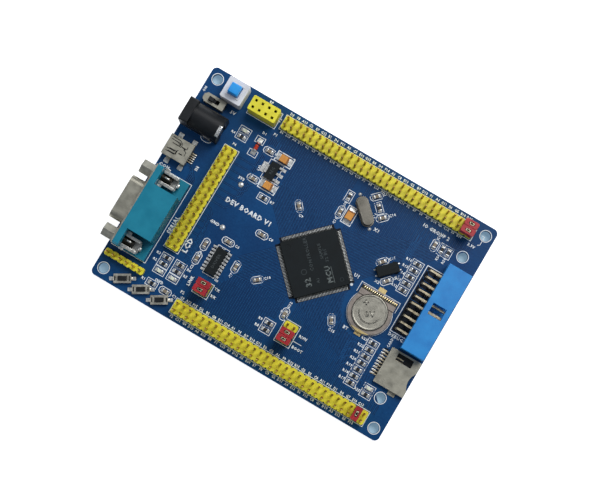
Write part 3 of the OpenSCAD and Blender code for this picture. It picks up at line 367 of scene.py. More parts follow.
# %% [markdown]
# ## Eased edges
# No moulded or stamped edge is truly sharp, and it is the thin bright line
# along an edge that tells the eye a part is real. A copy of the solid has its
# loose triangles joined into whole faces first, and then every sharp edge is
# cut by a narrow bevel.

# %% Copy a solid with eased edges
def joined_copy(name):
    shape = bmesh.new()
    shape.from_mesh(nodes[name].data)
    bmesh.ops.remove_doubles(shape, verts=shape.verts, dist=2e-6)
    bmesh.ops.dissolve_limit(shape, angle_limit=math.radians(1), verts=shape.verts,
                             edges=shape.edges)
    return shape


def ease(shape, width, angle=32, segments=2):
    sharp = [e for e in shape.edges if len(e.link_faces) == 2
             and e.calc_face_angle() > math.radians(angle)]
    bmesh.ops.bevel(shape, geom=sharp, offset=width, offset_type="OFFSET", affect="EDGES",
                    segments=segments, profile=0.5, material=-1, clamp_overlap=True)


def finished(shape, name, finish, body="board", smooth=30, weighted=True):
    """Turns a bmesh into a piece of the object, with its finish and body."""
    bmesh.ops.recalc_face_normals(shape, faces=shape.faces)
    made = bpy.data.meshes.new(name)
    shape.to_mesh(made)
    shape.free()
    made.materials.append(finish)
    made.polygons.foreach_set("use_smooth", [True] * len(made.polygons))
    made.set_sharp_from_angle(angle=math.radians(smooth))
    piece = bpy.data.objects.new(name, made)
    bpy.context.scene.collection.objects.link(piece)
    if weighted:
        piece.modifiers.new("even_faces", "WEIGHTED_NORMAL").keep_sharp = True
    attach(piece, body)
    return piece


def eased(name, finish, width=0.08, segments=2, smooth=50):
    shape = joined_copy(name)
    ease(shape, width * MM, segments=segments)
    piece = finished(shape, name + "_eased", finish, body_of[name], smooth)
    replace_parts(piece, name)
    return piece


work = [
    (yellow_nylon, "header_yellow", 0.07, ["top_header", "bottom_header", "display_header",
                                           "programming_header", "link_headers", "radio_socket"]),
    (white_plastic, "housing_white", 0.15, ["power_switch_housing"]),
    (button_plastic, "button_blue", 0.12, ["power_switch_button"]),
    (shell_steel, "shell_steel", 0.05, ["slide_switch_cover", "usb_shell", "serial_shell",
                                        "card_socket_shell"]),
    (frame_steel, "shell_steel", 0.05, ["push_switch_frames"]),
    (black_plastic, "black_plastic", 0.08, ["slide_switch_knob", "power_jack_housing",
                                            "push_plunger_left", "push_plunger_middle",
                                            "push_plunger_right"]),
    (teal_plastic, "housing_teal", 0.12, ["serial_housing"]),
    (blue_plastic, "housing_blue", 0.12, ["debug_housing"]),
    (holder_steel, "holder_metal", 0.06, ["battery_holder"]),
    (screw_steel, "shell_steel", 0.05, ["serial_jackscrews"]),
    (package_plastic, "package_black", 0.05, ["controller_package", "transceiver_package",
                                              "regulator_package", "clock_crystal"]),
    (can_steel, "can_metal", 0.12, ["main_crystal"]),
]
faces = 0
for finish, slot, width, names in work:
    for name in names:
        faces += len(eased(name, finish, width).data.polygons)
print("eased faces:", faces)

# %% [markdown]
# ## The laminate
# The board is green-brown glass cloth and resin, under a blue solder mask on
# both faces. Only its sawn edge shows the laminate itself.

# %% Solder mask and sawn edge
mask_finish, shader, place = new_finish("solder_mask", Specular_IOR_Level=0.16)
height = place.axis("Z")
edge = (height.between(0.00004, 0.00008)) * (1 - height.between(0.00152, 0.00156))
cloudy = place.grain(0.018, 3)
fine = place.grain(0.0006, 3)
weave = place.node("ShaderNodeTexWave", {"wave_type": "BANDS", "bands_direction": "X"},
                   {"Vector": place, "Scale": 320.0, "Distortion": 0.6})
cross = place.node("ShaderNodeTexWave", {"wave_type": "BANDS", "bands_direction": "Y"},
                   {"Vector": place, "Scale": 320.0, "Distortion": 0.6})
blue = (cloudy * 0.7 + fine * 0.3).between(0.3, 0.7).colours(paint(7, 55, 103), paint(10, 71, 124))
feed(shader,
     Base_Color=edge.colours(blue, paint(52, 84, 96)),
     Roughness=0.3 + fine * 0.15 + edge * 0.3,
     Normal=(weave * 0.15 + cross * 0.15 + fine * 0.7).relief(0.00002))
dress(mask_finish, "circuit_board")
print("laminate dressed")

# %% [markdown]
# ## Where the solids stand
# The small parts are placed by the mechanical model, so their places are read
# back from it instead of being written twice. A node may hold many solids;
# each one is found by walking along its edges, and its own length, width and
# turn come from how its corners spread.

# %% Find each solid of a node
board_low, board_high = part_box("circuit_board")
top = board_high.z


def spot(x, y):
    """A place on the board, in millimetres from its lower left corner."""
    return Vector((board_low.x + x * MM, board_low.y + y * MM))


def solids_of(name):
    """Middle, lowest and highest point, length, width and turn of each solid of a node."""
    shape = joined_copy(name)
    waiting, found = set(shape.verts), []
    while waiting:
        island, front = [], [waiting.pop()]
        while front:
            corner = front.pop()
            island.append(corner.co.copy())
            for edge in corner.link_edges:
                other = edge.other_vert(corner)
                if other in waiting:
                    waiting.discard(other)
                    front.append(other)
        found.append(island)
    shape.free()
    return sorted((measured(island) for island in found), key=lambda s: (s["x"], s["y"]))


def measured(points):
    mid = sum((p for p in points), Vector()) / len(points)
    sxx = sum((p.x - mid.x) ** 2 for p in points)
    syy = sum((p.y - mid.y) ** 2 for p in points)
    sxy = sum((p.x - mid.x) * (p.y - mid.y) for p in points)
    turn = 0.5 * math.atan2(2 * sxy, sxx - syy)
    along = Vector((math.cos(turn), math.sin(turn)))
    across = Vector((-along.y, along.x))
    u = [p.xy.dot(along) for p in points]
    v = [p.xy.dot(across) for p in points]
    centre = along * (max(u) + min(u)) / 2 + across * (max(v) + min(v)) / 2
    length, width = max(u) - min(u), max(v) - min(v)
    if width > length:
        length, width, turn = width, length, turn + math.pi / 2
    return {"x": round(centre.x, 7), "y": round(centre.y, 7), "length": length, "width": width,
            "turn": turn, "low": min(p.z for p in points), "high": max(p.z for p in points)}


def frame_of(solid, lift=0.0):
    """The matrix that puts a shape on a solid's middle, turned as the solid is."""
    return Matrix.Translation((solid["x"], solid["y"], lift)) @ Matrix.Rotation(solid["turn"], 4, "Z")


resistors = solids_of("chip_resistors")
capacitors = solids_of("chip_capacitors")
leds = solids_of("indicator_leds")
tantalums = solids_of("tantalum_capacitors")
leads = solids_of("controller_leads")
print("resistors", len(resistors), "capacitors", len(capacitors), "lamps", len(leds),
      "tantalums", len(tantalums), "controller leads", len(leads))

# %% [markdown]
# ## Copper under the mask
# Nearly the whole face is a copper pour. Tracks run through it with a thin
# gap on each side, and the blue mask looks darker over a gap than over
# copper. So each route is laid as two flat strips: a wide dark one for the
# gap, and a narrow light one on it for the track. A strip starts as one short
# edge that is extruded from point to point, and a Solidify modifier gives the
# finished sheet its thickness.

# %% Lay a strip along points
def strip(shape, points, width, level, closed=False):
    """A flat strip with mitred corners: a short edge extruded from point to point."""
    points = [Vector(p[:2]) for p in points]
    count, pairs = len(points), []
    for i, point in enumerate(points):
        before = points[i - 1] if closed or i else None
        after = points[(i + 1) % count] if closed or i + 1 < count else None
        behind = (point - before).normalized() if before else (after - point).normalized()
        ahead = (after - point).normalized() if after else behind
        side = Vector((-ahead.y - behind.y, ahead.x + behind.x)).normalized()
        reach = width / 2 / max(0.4, side.dot(Vector((-ahead.y, ahead.x))))
        pairs.append((point + side * reach, point - side * reach))
    if closed:
        pairs.append(pairs[0])
    ends = [shape.verts.new((*p, level)) for p in pairs[0]]
    rung = shape.edges.new(ends)
    for pair in pairs[1:]:
        made = bmesh.ops.extrude_edge_only(shape, edges=[rung])["geom"]
        rung = next(g for g in made if isinstance(g, bmesh.types.BMEdge)
                    and not set(g.verts) & set(ends))
        fresh = list(rung.verts)
        if shape.edges.get((ends[0], fresh[0])) is None:
            fresh.reverse()
        for corner, place in zip(fresh, pair):
            corner.co = (*place, level)
        ends = fresh


def sheet_piece(shape, name, finish, thick, body="board"):
    """Turns flat strips into a piece, thickened downwards so that it sinks into the board."""
    bmesh.ops.remove_doubles(shape, verts=shape.verts, dist=1e-9)
    up = [f for f in shape.faces if f.normal.z < 0]
    bmesh.ops.reverse_faces(shape, faces=up)
    made = bpy.data.meshes.new(name)
    shape.to_mesh(made)
    shape.free()
    made.materials.append(finish)
    piece = bpy.data.objects.new(name, made)
    bpy.context.scene.collection.objects.link(piece)
    solid = piece.modifiers.new("thickness", "SOLIDIFY")
    solid.thickness, solid.offset = thick, -1
    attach(piece, body)
    return piece

# %% Places a route keeps clear of
small_parts = resistors + capacitors + leds + tantalums
keep_clear = [(Vector((p["x"], p["y"])), p["length"] / 2 + 0.9 * MM) for p in small_parts]
for name, extra in (("main_crystal", -0.8), ("transceiver_package", 2.2), ("battery_holder", 0.8),
                    ("clock_crystal", 0.2), ("regulator_package", 2.0), ("coin_cell", 1.0)):
    low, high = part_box(name)
    keep_clear.append((((low + high) / 2).xy, max(high.x - low.x, high.y - low.y) / 2 + extra * MM))


def clear_runs(points, step=0.3 * MM):
    """Cuts a route where it would run under a small part, and returns what is left."""
    runs, run = [], []
    for start, end in zip(points, points[1:]):
        paces = max(1, int((end - start).length / step))
        for i in range(paces):
            here = start.lerp(end, i / paces)
            if any((here - middle).length < radius for middle, radius in keep_clear):
                if len(run) > 1:
                    runs.append(run)
                run = []
            elif len(run) > 1 and i > 1:
                run[-1] = here
            else:
                run.append(here)
    return runs + ([run + [points[-1]]] if run else [])


print("places kept clear:", len(keep_clear))

# %% Routes on the top face
def bent(start, *turns):
    """A route from start through the corners that the moves in turns lead to."""
    points = [Vector(start)]
    for move in turns:
        points.append(points[-1] + Vector(move) * MM)
    return points


def fan_out(leads, header_y, columns):
    """Each controller lead runs out at 45 degrees, then straight to its header column."""
    made = []
    for lead, column in zip(leads, columns):
        start = Vector((lead["x"], lead["y"]))
        goal = spot(column, header_y)
        run = abs(goal.x - start.x)
        side = 1 if goal.x > start.x else -1
        rise = 1 if goal.y > start.y else -1
        made.append([start, start + Vector((side * run, rise * run)), goal])
    return made


centre = sum((Vector((l["x"], l["y"])) for l in leads), Vector((0, 0))) / len(leads)
sides = {(sx, sy): sorted((l for l in leads if (l["x"] > centre.x) == (sx > 0)
                           and (l["y"] > centre.y) == (sy > 0)), key=lambda l: sx * l["x"])
         for sx in (1, -1) for sy in (1, -1)}
routes = []
routes += fan_out(sides[1, 1], 76.3, [67.6 + 1.17 * k for k in range(36)])
routes += fan_out(sides[-1, 1], 76.3, [62.6 - 0.84 * k for k in range(36)])
routes += fan_out(sides[1, -1], 7.5, [67.6 + 1.17 * k for k in range(36)])
routes += fan_out(sides[-1, -1], 7.5, [62.6 - 0.84 * k for k in range(36)])
low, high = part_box("display_header")
for k in range(16):
    y = 22.3 + 2.54 * k
    out = 2.2 + 0.62 * k
    if k > 7:
        routes.append(bent(spot(21.24, y), (out, 0), (1.5, 1.5), (0, 73 - y - k * 0.2)))
    else:
        routes.append(bent(spot(21.24, y), (7 - out * 0.6, 0), (1.5, -1.5), (0, 12.5 - y + k * 0.5)))
for k in range(7):
    y = 13 + 2.56 * k
    routes.append(bent(spot(97.3, y), (2.2 + 0.3 * k, 0), (1, 1), (3, 0)))
    routes.append(bent(spot(95, y), (-2.6 - 0.5 * k, 0), (-1, -1), (0, -4.4 - 0.5 * k)))
for k in range(5):
    y = 49.4 + 2.56 * k
    routes.append(bent(spot(96.9, y), (1.6 + 0.3 * k, 0), (1.2, -1.2), (4, 0)))
    routes.append(bent(spot(94.6, y), (-1.2 - 0.55 * k, 0), (-1, 1), (0, 18 - 2.4 * k)))
for k in range(5):
    routes.append(bent(spot(9.5 + 0.6 * k, 50 - k * 0.8), (1.2, 0), (1.4, -1.4), (0, -26 + k), (2, -2)))
    routes.append(bent(spot(31 + 0.6 * k, 12.5), (0, 1.5 + 0.4 * k), (-1.4, 1.4), (-1.5, 0)))
print("routes:", len(routes))

# %% Cut the routes and lay them
gaps, tracks, vias = bmesh.new(), bmesh.new(), []
ended, lift = set(), 0.0
for route in routes:
    for run in clear_runs(route):
        if len(run) < 2 or (run[-1] - run[0]).length < 0.8 * MM:
            continue
        lift += 0.00002 * MM
        strip(gaps, run, 0.62 * MM, top + 0.004 * MM + lift)
        strip(tracks, run, 0.24 * MM, top + 0.016 * MM + lift)
        for end in (run[0], run[-1]):
            if (end - route[0]).length > MM and (end - route[-1]).length > MM:
                vias.append(end)
print("track faces:", len(tracks.faces), "vias:", len(vias))


def mask_of_tone(name, tone, light):
    """Solder mask again, in one tone, for the strips that lie on the face."""
    made, shader, place = new_finish(name, Specular_IOR_Level=0.2)
    fine = place.grain(0.0006, 3)
    feed(shader, Base_Color=fine.between(0.3, 0.7).colours(tone, light),
         Roughness=0.28 + fine * 0.15, Normal=fine.relief(0.000014))
    return made


gap_mask = mask_of_tone("gap_mask", paint(5, 35, 73), paint(7, 41, 83))
track_mask = mask_of_tone("track_mask", paint(11, 66, 118), paint(16, 80, 134))
sheet_piece(gaps, "track_gaps", gap_mask, 0.02 * MM)
sheet_piece(tracks, "copper_tracks", track_mask, 0.03 * MM)

# %% [markdown]
# ## White ink
# Outlines, part numbers and pin numbers are screened on in white ink about
# a hundredth of a millimetre thick. Each chip's outline follows the chip: a
# plain box round a resistor, a box with cut corners round a capacitor.
# Letters come from the built-in font, turned into a mesh before they are
# placed. Everything they say is generic.

# %% Outlines round the parts
ink_level = top + 0.028 * MM
ink_lines = bmesh.new()


def box_outline(solid, length, width, cut=0.0):
    """Corner points of a box round a solid, in its own turn, with cut corners."""
    place = frame_of(solid)
    x, y = length / 2 * MM, width / 2 * MM
    c = cut * MM
    if not cut:
        corners = [(-x, -y), (x, -y), (x, y), (-x, y)]
    else:
        corners = [(-x + c, -y), (x - c, -y), (x, -y + c), (x, y - c),
                   (x - c, y), (-x + c, y), (-x, y - c), (-x, -y + c)]
    return [(place @ Vector((*p, 0))).xy for p in corners]


def ink_box(x0, y0, x1, y1, width=0.2):
    strip(ink_lines, [spot(x0, y0), spot(x1, y0), spot(x1, y1), spot(x0, y1)], width * MM,
          ink_level, closed=True)


def ink_path(*points, width=0.2):
    strip(ink_lines, [spot(*p) for p in points], width * MM, ink_level)


for part in resistors + leds:
    strip(ink_lines, box_outline(part, 4.2, 2.46), 0.2 * MM, ink_level, closed=True)
for part in capacitors:
    strip(ink_lines, box_outline(part, 4.5, 2.4, 0.7), 0.22 * MM, ink_level, closed=True)
for part in tantalums:
    strip(ink_lines, box_outline(part, 6.4, 3.7), 0.3 * MM, ink_level, closed=True)


def outline_of(name, margin, width=0.2):
    low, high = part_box(name)
    strip(ink_lines, [(low.x - margin * MM, low.y - margin * MM), (high.x + margin * MM, low.y - margin * MM),
                      (high.x + margin * MM, high.y + margin * MM), (low.x - margin * MM, high.y + margin * MM)],
          width * MM, ink_level, closed=True)


for name in ("top_header", "bottom_header", "display_header", "radio_socket", "link_headers"):
    if name != "link_headers":
        outline_of(name, 0.3)
ink_box(33.4, 12.2, 39.3, 17.8)
ink_box(66.2, 12.2, 72.1, 20.7)
ink_box(33.3, 19.8, 37.7, 30.7)
ink_path((34.8, 30.7), (35.1, 30.2), (35.9, 30.2), (36.2, 30.7))
ink_box(33.6, 58.2, 38.8, 65.6)
ink_box(98.9, 35.4, 104.9, 61.2, 0.25)
ink_path((3, 43.6), (14.7, 43.6), (14.7, 12.3), (1, 12.3), width=0.22)
ink_path((1, 60.2), (13.6, 60.2), (13.6, 68.8))
ink_box(25.4, 62.9, 28.6, 65.1)
ink_box(25.4, 68, 28.6, 70.4)
for turn in range(24):
    angle = [math.tau * (turn + k) / 24 for k in (0, 1)]
    ink_path(*((10.6 + 2 * math.cos(a), 59.9 + 0.95 * math.sin(a)) for a in angle))
ink_path((72, 15.2), (75.5, 15.2))
ink_path((109.9, 79.6), (110.8, 79.6), (110.8, 76.4), (110, 75.9))
print("ink line faces:", len(ink_lines.faces))

# %% Rings round holes and pads
def ring(shape, x, y, inner, outer, level, sides=28):
    """A flat ring: a circle extruded once and widened to its outer size."""
    middle = spot(x, y)
    edges = bmesh.ops.create_circle(shape, segments=sides, radius=inner * MM,
                                    matrix=Matrix.Translation((*middle, level)))["verts"]
    loop = list({e for v in edges for e in v.link_edges})
    grown = bmesh.ops.extrude_edge_only(shape, edges=loop)["geom"]
    corners = [g for g in grown if isinstance(g, bmesh.types.BMVert)]
    bmesh.ops.scale(shape, verts=corners, vec=(outer / inner, outer / inner, 1),
                    space=Matrix.Translation((-middle.x, -middle.y, -level)))


mounting_holes = [(3.3, 3.7), (111, 3.7), (3.3, 80.1), (111, 80.1), (107.75, 69.8), (107.75, 13.65)]
for x, y in mounting_holes:
    ring(ink_lines, x, y, 1.93, 2.17, ink_level, 40)
ring(ink_lines, 79.6, 42.2, 0.02, 0.5, ink_level, 16)
print("mounting holes ringed:", len(mounting_holes))

# %% Letters
def letters(shape, words, x, y, tall=1.1, turn=0, wide=1.0, level=ink_level):
    """Centres words at a place on the board; tall is the height of a capital in mm."""
    text = bpy.data.curves.new("words", "FONT")
    text.body, text.size = words, tall / 0.73 * MM
    text.align_x, text.align_y = "CENTER", "CENTER"
    text.resolution_u, text.offset = 1, 0.00006 * tall
    text.space_character = 1.12
    holder = bpy.data.objects.new("words", text)
    flat = bpy.data.meshes.new_from_object(holder)
    bpy.data.objects.remove(holder)
    flat.transform(Matrix.Translation((*spot(x, y), level)) @ Matrix.Rotation(
        math.radians(turn), 4, "Z") @ Matrix.Diagonal((wide, 1, 1, 1)))
    shape.from_mesh(flat)
    bpy.data.meshes.remove(flat)


ink_letters = bmesh.new()
ports = "ABCDEFG"
for k in range(29):
    column = 32 + 2.54 * k
    letters(ink_letters, f"{ports[(k * 2 + 3) % 7]}{(k * 5 + 3) % 16}", column, 82.55, 0.95, wide=0.86)
    letters(ink_letters, f"{ports[(k * 3 + 1) % 7]}{(k * 7 + 6) % 16}", column, 75.4, 0.95, wide=0.86)
    letters(ink_letters, f"{ports[(k * 5 + 2) % 7]}{(k * 3 + 9) % 16}", column, 8.45, 0.95, wide=0.86)
    letters(ink_letters, f"{ports[(k * 4 + 5) % 7]}{(k * 9 + 2) % 16}", column, 1.3, 0.95, wide=0.86)
for words, x, y, tall, turn in [
        ("DEV BOARD V1", 36.3, 45.6, 1.75, 0), ("LCD", 24.3, 25, 1.9, 90),
        ("DEBUG", 101.8, 34.2, 1.2, 0), ("SERIAL", 16.3, 28.5, 1.5, 90), ("COM", 3, 44.6, 1.2, 0),
        ("IO GROUP 2", 95.6, 72.6, 1.25, 0), ("3.3V", 108.3, 74.6, 1.0, 0), ("GND", 28.2, 36.5, 1.1, 0),
        ("3V3", 28.2, 54.4, 1.0, 0), ("5V", 13.9, 72.6, 1.2, 0), ("ON", 1.2, 75, 0.9, 90),
        ("RUN", 74.6, 17.7, 1.0, 0), ("BOOT", 74.8, 13.3, 1.0, 0), ("LOAD", 64.9, 21.9, 0.8, 0),
        ("TX", 40.8, 16.9, 1.0, 0), ("RX", 40.8, 14.2, 1.0, 0), ("LINK", 31.3, 15, 1.1, 90),
        ("IN", 13.2, 49.5, 1.1, 90), ("S1", 13.7, 5.4, 0.9, 30), ("S2", 21.2, 5.4, 0.9, 30),
        ("S3", 28.6, 5.4, 0.9, 30), ("SWD", 22.2, 9.3, 1.0, 0), ("X1", 77.6, 62.6, 1.2, 0),
        ("X2", 86.7, 47.4, 1.0, 0), ("U1", 79.7, 45.6, 1.2, 0), ("U2", 31.8, 60.8, 1.2, 90),
        ("U3", 38.9, 19.6, 0.8, 0), ("BT", 85.3, 28.3, 1.1, 0), ("P1", 30.6, 73.5, 1.0, 0),
        ("P2", 31, 10.2, 1.0, 0), ("P3", 29.3, 78.8, 1.0, 90), ("P4", 20, 63.4, 0.9, 0),
        ("D1", 27.1, 72, 0.9, 0), ("CARD", 101.2, 31.6, 0.9, 90), ("RF", 23.6, 82.6, 0.9, 0)]:
    letters(ink_letters, words, x, y, tall, turn)
for k, part in enumerate(resistors):
    mm = Vector((part["x"], part["y"])) - board_low.xy
    x, y = mm.x / MM, mm.y / MM
    if part["length"] and abs(math.sin(part["turn"])) < 0.1:
        letters(ink_letters, f"R{k + 1}", x - 3.4 if x > 50 or x < 22 else x + 3.4, y, 0.95)
    else:
        letters(ink_letters, f"R{k + 1}", x, y - 3.2, 0.9, 90)
for k, part in enumerate(capacitors):
    mm = Vector((part["x"], part["y"])) - board_low.xy
    ahead = Matrix.Rotation(part["turn"], 2) @ Vector((3.5, 0))
    if ahead.x < -0.1:
        ahead = -ahead
    letters(ink_letters, f"C{k + 1}", mm.x / MM + ahead.x, mm.y / MM + ahead.y, 0.95,
            math.degrees(part["turn"]) % 180 if part["turn"] % math.pi < 1.6 else 0)
print("letter faces:", len(ink_letters.faces))

# %% The ink itself
ink, shader, place = new_finish("white_ink")
thin = place.grain(0.00025, 4)
film = place.grain(0.003, 2)
feed(shader,
     Base_Color=(thin * 0.8 + film * 0.3).between(0.28, 0.5).colours(
         paint(176, 198, 218), paint(240, 246, 250)),
     Roughness=0.6 + thin * 0.2, Normal=thin.relief(0.000006))
sheet_piece(ink_lines, "ink_lines", ink, 0.03 * MM)
sheet_piece(ink_letters, "ink_letters", ink, 0.03 * MM)
print("ink pieces laid")

# %% [markdown]
# ## Pads and solder
# Every part that lies on the face stands on tinned pads, and molten tin has
# crept up its ends in a slope. The slope is a block whose outer upper edge is
# pulled down to the pad. Pins that go through the board carry a small cone
# underneath: one curve is spun round the pin to make it, and the same cone is
# stamped at every pin.

# %% Blocks, slopes and stamps
def block(shape, place, x, y, size, low, high, ease_by=0.0, slope=None):
    """A box in mm about (x, y) of a turned place. slope pulls in the upper edge on one side."""
    made = bmesh.ops.create_cube(shape, size=1.0)["verts"]
    bmesh.ops.scale(shape, verts=made, vec=(size[0] * MM, size[1] * MM, high - low))
    bmesh.ops.translate(shape, verts=made, vec=(x * MM, y * MM, (high + low) / 2))
    if slope:
        side, drop = slope
        outer = [v for v in made if v.co.z > (low + high) / 2 and (v.co.x - x * MM) * side > 0]
        bmesh.ops.translate(shape, verts=outer, vec=(0, 0, -drop * MM))
    if ease_by:
        edges = list({e for v in made for e in v.link_edges})
        grown = bmesh.ops.bevel(shape, geom=edges, offset=ease_by * MM, offset_type="OFFSET",
                                affect="EDGES", segments=2, profile=0.5, material=-1,
                                clamp_overlap=True)
        made = list({v for f in grown["faces"] for v in f.verts} | {v for v in made if v.is_valid})
    bmesh.ops.transform(shape, matrix=place, verts=made)
    return made


def stamp(shape, pattern, place):
    """Adds a copy of a pattern mesh at a place."""
    copied = pattern.copy()
    copied.transform(place)
    shape.from_mesh(copied)
    bpy.data.meshes.remove(copied)


def turned_shape(shape, profile, steps):
    """Spins a profile of (radius, height) points round Z and closes its poles."""
    corners = [shape.verts.new((r * MM, 0, z * MM)) for r, z in profile]
    line = [shape.edges.new(pair) for pair in zip(corners, corners[1:])]
    bmesh.ops.spin(shape, geom=corners + line, cent=(0, 0, 0), axis=(0, 0, 1),
                   angle=math.tau, steps=steps, use_merge=True)
    bmesh.ops.remove_doubles(shape, verts=shape.verts, dist=1e-7)
    bmesh.ops.recalc_face_normals(shape, faces=shape.faces)


def pattern_of(shape, name):
    mesh = bpy.data.meshes.new(name)
    shape.to_mesh(mesh)
    shape.free()
    return mesh


print("block, stamp and turned_shape are ready")

# %% The small chips
resistor_film, chip_ceramic, capacitor_ceramic = bmesh.new(), bmesh.new(), bmesh.new()
chip_ends, solder = bmesh.new(), bmesh.new()
lamp_base, lamp_lens = bmesh.new(), bmesh.new()


def tinned_ends(part, tall, cap=0.36, gap=0.02):
    """Wrapped tin ends, the solder slopes in front of them and the pads below."""
    place, half = frame_of(part), part["length"] / MM / 2
    wide = part["width"] / MM
    for side in (-1, 1):
        block(chip_ends, place, side * (half - cap / 2), 0, (cap, wide + 2 * gap), top + 0.03 * MM,
              top + (tall + gap) * MM, 0.08)
        block(solder, place, side * (half + 0.24), 0, (0.5, wide - 0.1), top + 0.03 * MM,
              top + tall * 0.72 * MM, 0.12, slope=(side, tall * 0.6))
        block(solder, place, side * (half + 0.02), 0, (1.16, wide + 0.16), top - 0.02 * MM,
              top + 0.07 * MM, 0.03)


for part in resistors:
    place, length = frame_of(part), part["length"] / MM
    wide = part["width"] / MM
    block(chip_ceramic, place, 0, 0, (length - 0.04, wide - 0.02), top + 0.04 * MM, top + 0.44 * MM, 0.03)
    block(resistor_film, place, 0, 0, (length - 0.8, wide - 0.08), top + 0.43 * MM, top + 0.5 * MM, 0.02)
    tinned_ends(part, 0.48)
for part in capacitors:
    place, length = frame_of(part), part["length"] / MM
    wide = part["width"] / MM
    block(capacitor_ceramic, place, 0, 0, (length - 0.1, wide - 0.03), top + 0.04 * MM,
          top + 0.97 * MM, 0.09)
    tinned_ends(part, 0.97, 0.42, 0.01)
for part in leds:
    place, length = frame_of(part), part["length"] / MM
    wide = part["width"] / MM
    block(lamp_base, place, 0, 0, (length - 0.04, wide), top + 0.03 * MM, top + 0.36 * MM, 0.03)
    upper = block(lamp_lens, place, 0, 0, (length * 0.62, wide - 0.04), top + 0.36 * MM, top + 0.8 * MM, 0.12)
    tinned_ends(part, 0.36, 0.34, 0.02)
print("faces in the chips' tin:", len(chip_ends.faces) + len(solder.faces))

# %% Finishes for the small chips
film_black = moulded_plastic("film_black", paint(34, 36, 42), paint(20, 21, 26), 0.3, grain=0.0001)
white_ceramic = moulded_plastic("white_ceramic", paint(214, 214, 210), paint(184, 184, 180), 0.5,
                                grain=0.00008)
tan_ceramic = moulded_plastic("tan_ceramic", paint(146, 134, 116), paint(114, 102, 86), 0.5,
                              grain=0.00009)
lamp_resin = moulded_plastic("lamp_resin", paint(236, 240, 226), paint(214, 222, 198), 0.18,
                             cloud=0.0006)
bright_tin = plated_metal("bright_tin", paint(232, 233, 232), paint(176, 178, 178), 0.26,
                          lines=(1, 1, 1), size=0.0002, patches=0.0007, metallic=0.6)
solder_tin = plated_metal("solder_tin", paint(228, 230, 230), paint(170, 173, 175), 0.34,
                          lines=(1, 1, 1), size=0.00035, patches=0.0009, metallic=0.6)
film = finished(resistor_film, "resistor_films", film_black)
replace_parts(film, "chip_resistors")
finished(chip_ceramic, "resistor_ceramics", white_ceramic)
body = finished(capacitor_ceramic, "capacitor_bodies", tan_ceramic)
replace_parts(body, "chip_capacitors")
base = finished(lamp_base, "lamp_bases", white_plastic)
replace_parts(base, "indicator_leds")
finished(lamp_lens, "lamp_lenses", lamp_resin)
finished(chip_ends, "chip_ends", bright_tin)
print("chips dressed")

# %% The moulded tantalum capacitors
moulded, stripe, clips = bmesh.new(), bmesh.new(), bmesh.new()
for part in tantalums:
    place = frame_of(part)
    for low, high, waist in ((0.1, 1.0, 0.96), (1.0, 1.9, 0.94)):
        made = block(moulded, Matrix.Identity(4), 0, 0, (3.3, 2.7), top + low * MM, top + high * MM)
        far = [v for v in made if abs(v.co.z - (top + (low if low < 1 else high) * MM)) < 1e-7]
        bmesh.ops.scale(moulded, verts=far, vec=(waist, waist, 1))
        bmesh.ops.transform(moulded, matrix=place, verts=made)
    block(stripe, place, 1.25, 0, (0.5, 2.5), top + 1.88 * MM, top + 1.91 * MM)
    for side in (-1, 1):
        block(clips, place, side * 1.68, 0, (0.18, 2.1), top + 0.03 * MM, top + 1.05 * MM, 0.04)
        block(solder, place, side * 2.1, 0, (1.2, 2.3), top - 0.02 * MM, top + 0.45 * MM, 0.15,
              slope=(side, 0.34))
        block(solder, place, side * 2.1, 0, (1.7, 2.6), top - 0.02 * MM, top + 0.07 * MM, 0.03)
bmesh.ops.remove_doubles(moulded, verts=moulded.verts, dist=1e-7)
inner = [f for f in moulded.faces if all(abs(v.co.z - (top + 1.0 * MM)) < 1e-6 for v in f.verts)]
bmesh.ops.delete(moulded, geom=inner, context="FACES_ONLY")
ease(moulded, 0.06 * MM)
piece = finished(moulded, "tantalum_bodies", orange_plastic)
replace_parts(piece, "tantalum_capacitors")
stripe_paint = moulded_plastic("stripe_paint", paint(150, 92, 40), paint(120, 70, 30), 0.5)
finished(stripe, "tantalum_stripes", stripe_paint)
finished(clips, "tantalum_clips", bright_tin)
print("tantalum capacitors:", len(tantalums))

# %% The glass diode
glass, bands, caps = bmesh.new(), bmesh.new(), bmesh.new()
turned_shape(glass, [(0, -1.36), (0.55, -1.36), (0.66, -1.2), (0.7, -0.9), (0.7, 0.9), (0.66, 1.2),
                     (0.55, 1.36), (0, 1.36)], 20)
turned_shape(bands, [(0.69, -0.95), (0.715, -0.93), (0.715, -0.5), (0.69, -0.48)], 20)
diode_parts = [(glass, "diode_glass_body"), (bands, "diode_band"), (caps, "diode_ends")]
for side in (-1, 1):
    corners = [(0, side * 1.75), (0.7, side * 1.75), (0.79, side * 1.68), (0.8, side * 1.38),
               (0.7, side * 1.3), (0, side * 1.3)]
    turned_shape(caps, corners, 20)
low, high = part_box("protection_diode")
lying = Matrix.Translation((low + high) / 2) @ Matrix.Rotation(math.pi / 2, 4, "X")
for shape, name in diode_parts:
    bmesh.ops.transform(shape, matrix=lying, verts=shape.verts)
glass_red = moulded_plastic("glass_red", paint(206, 74, 44), paint(168, 44, 30), 0.12, cloud=0.0008)
piece = finished(glass, "diode_glass_body", glass_red)
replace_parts(piece, "protection_diode")
finished(bands, "diode_band", film_black)
finished(caps, "diode_ends", bright_tin)
mid = (low + high) / 2
for side in (-1, 1):
    flat = Matrix.Translation((mid.x, mid.y, 0)) @ Matrix.Rotation(math.pi / 2, 4, "Z")
    block(solder, flat, side * 2.3, 0, (1.9, 1.9), top - 0.02 * MM, top + 0.8 * MM, 0.2,
          slope=(side, 0.62))
print("diode length in mm:", round((high.y - low.y) / MM, 2))

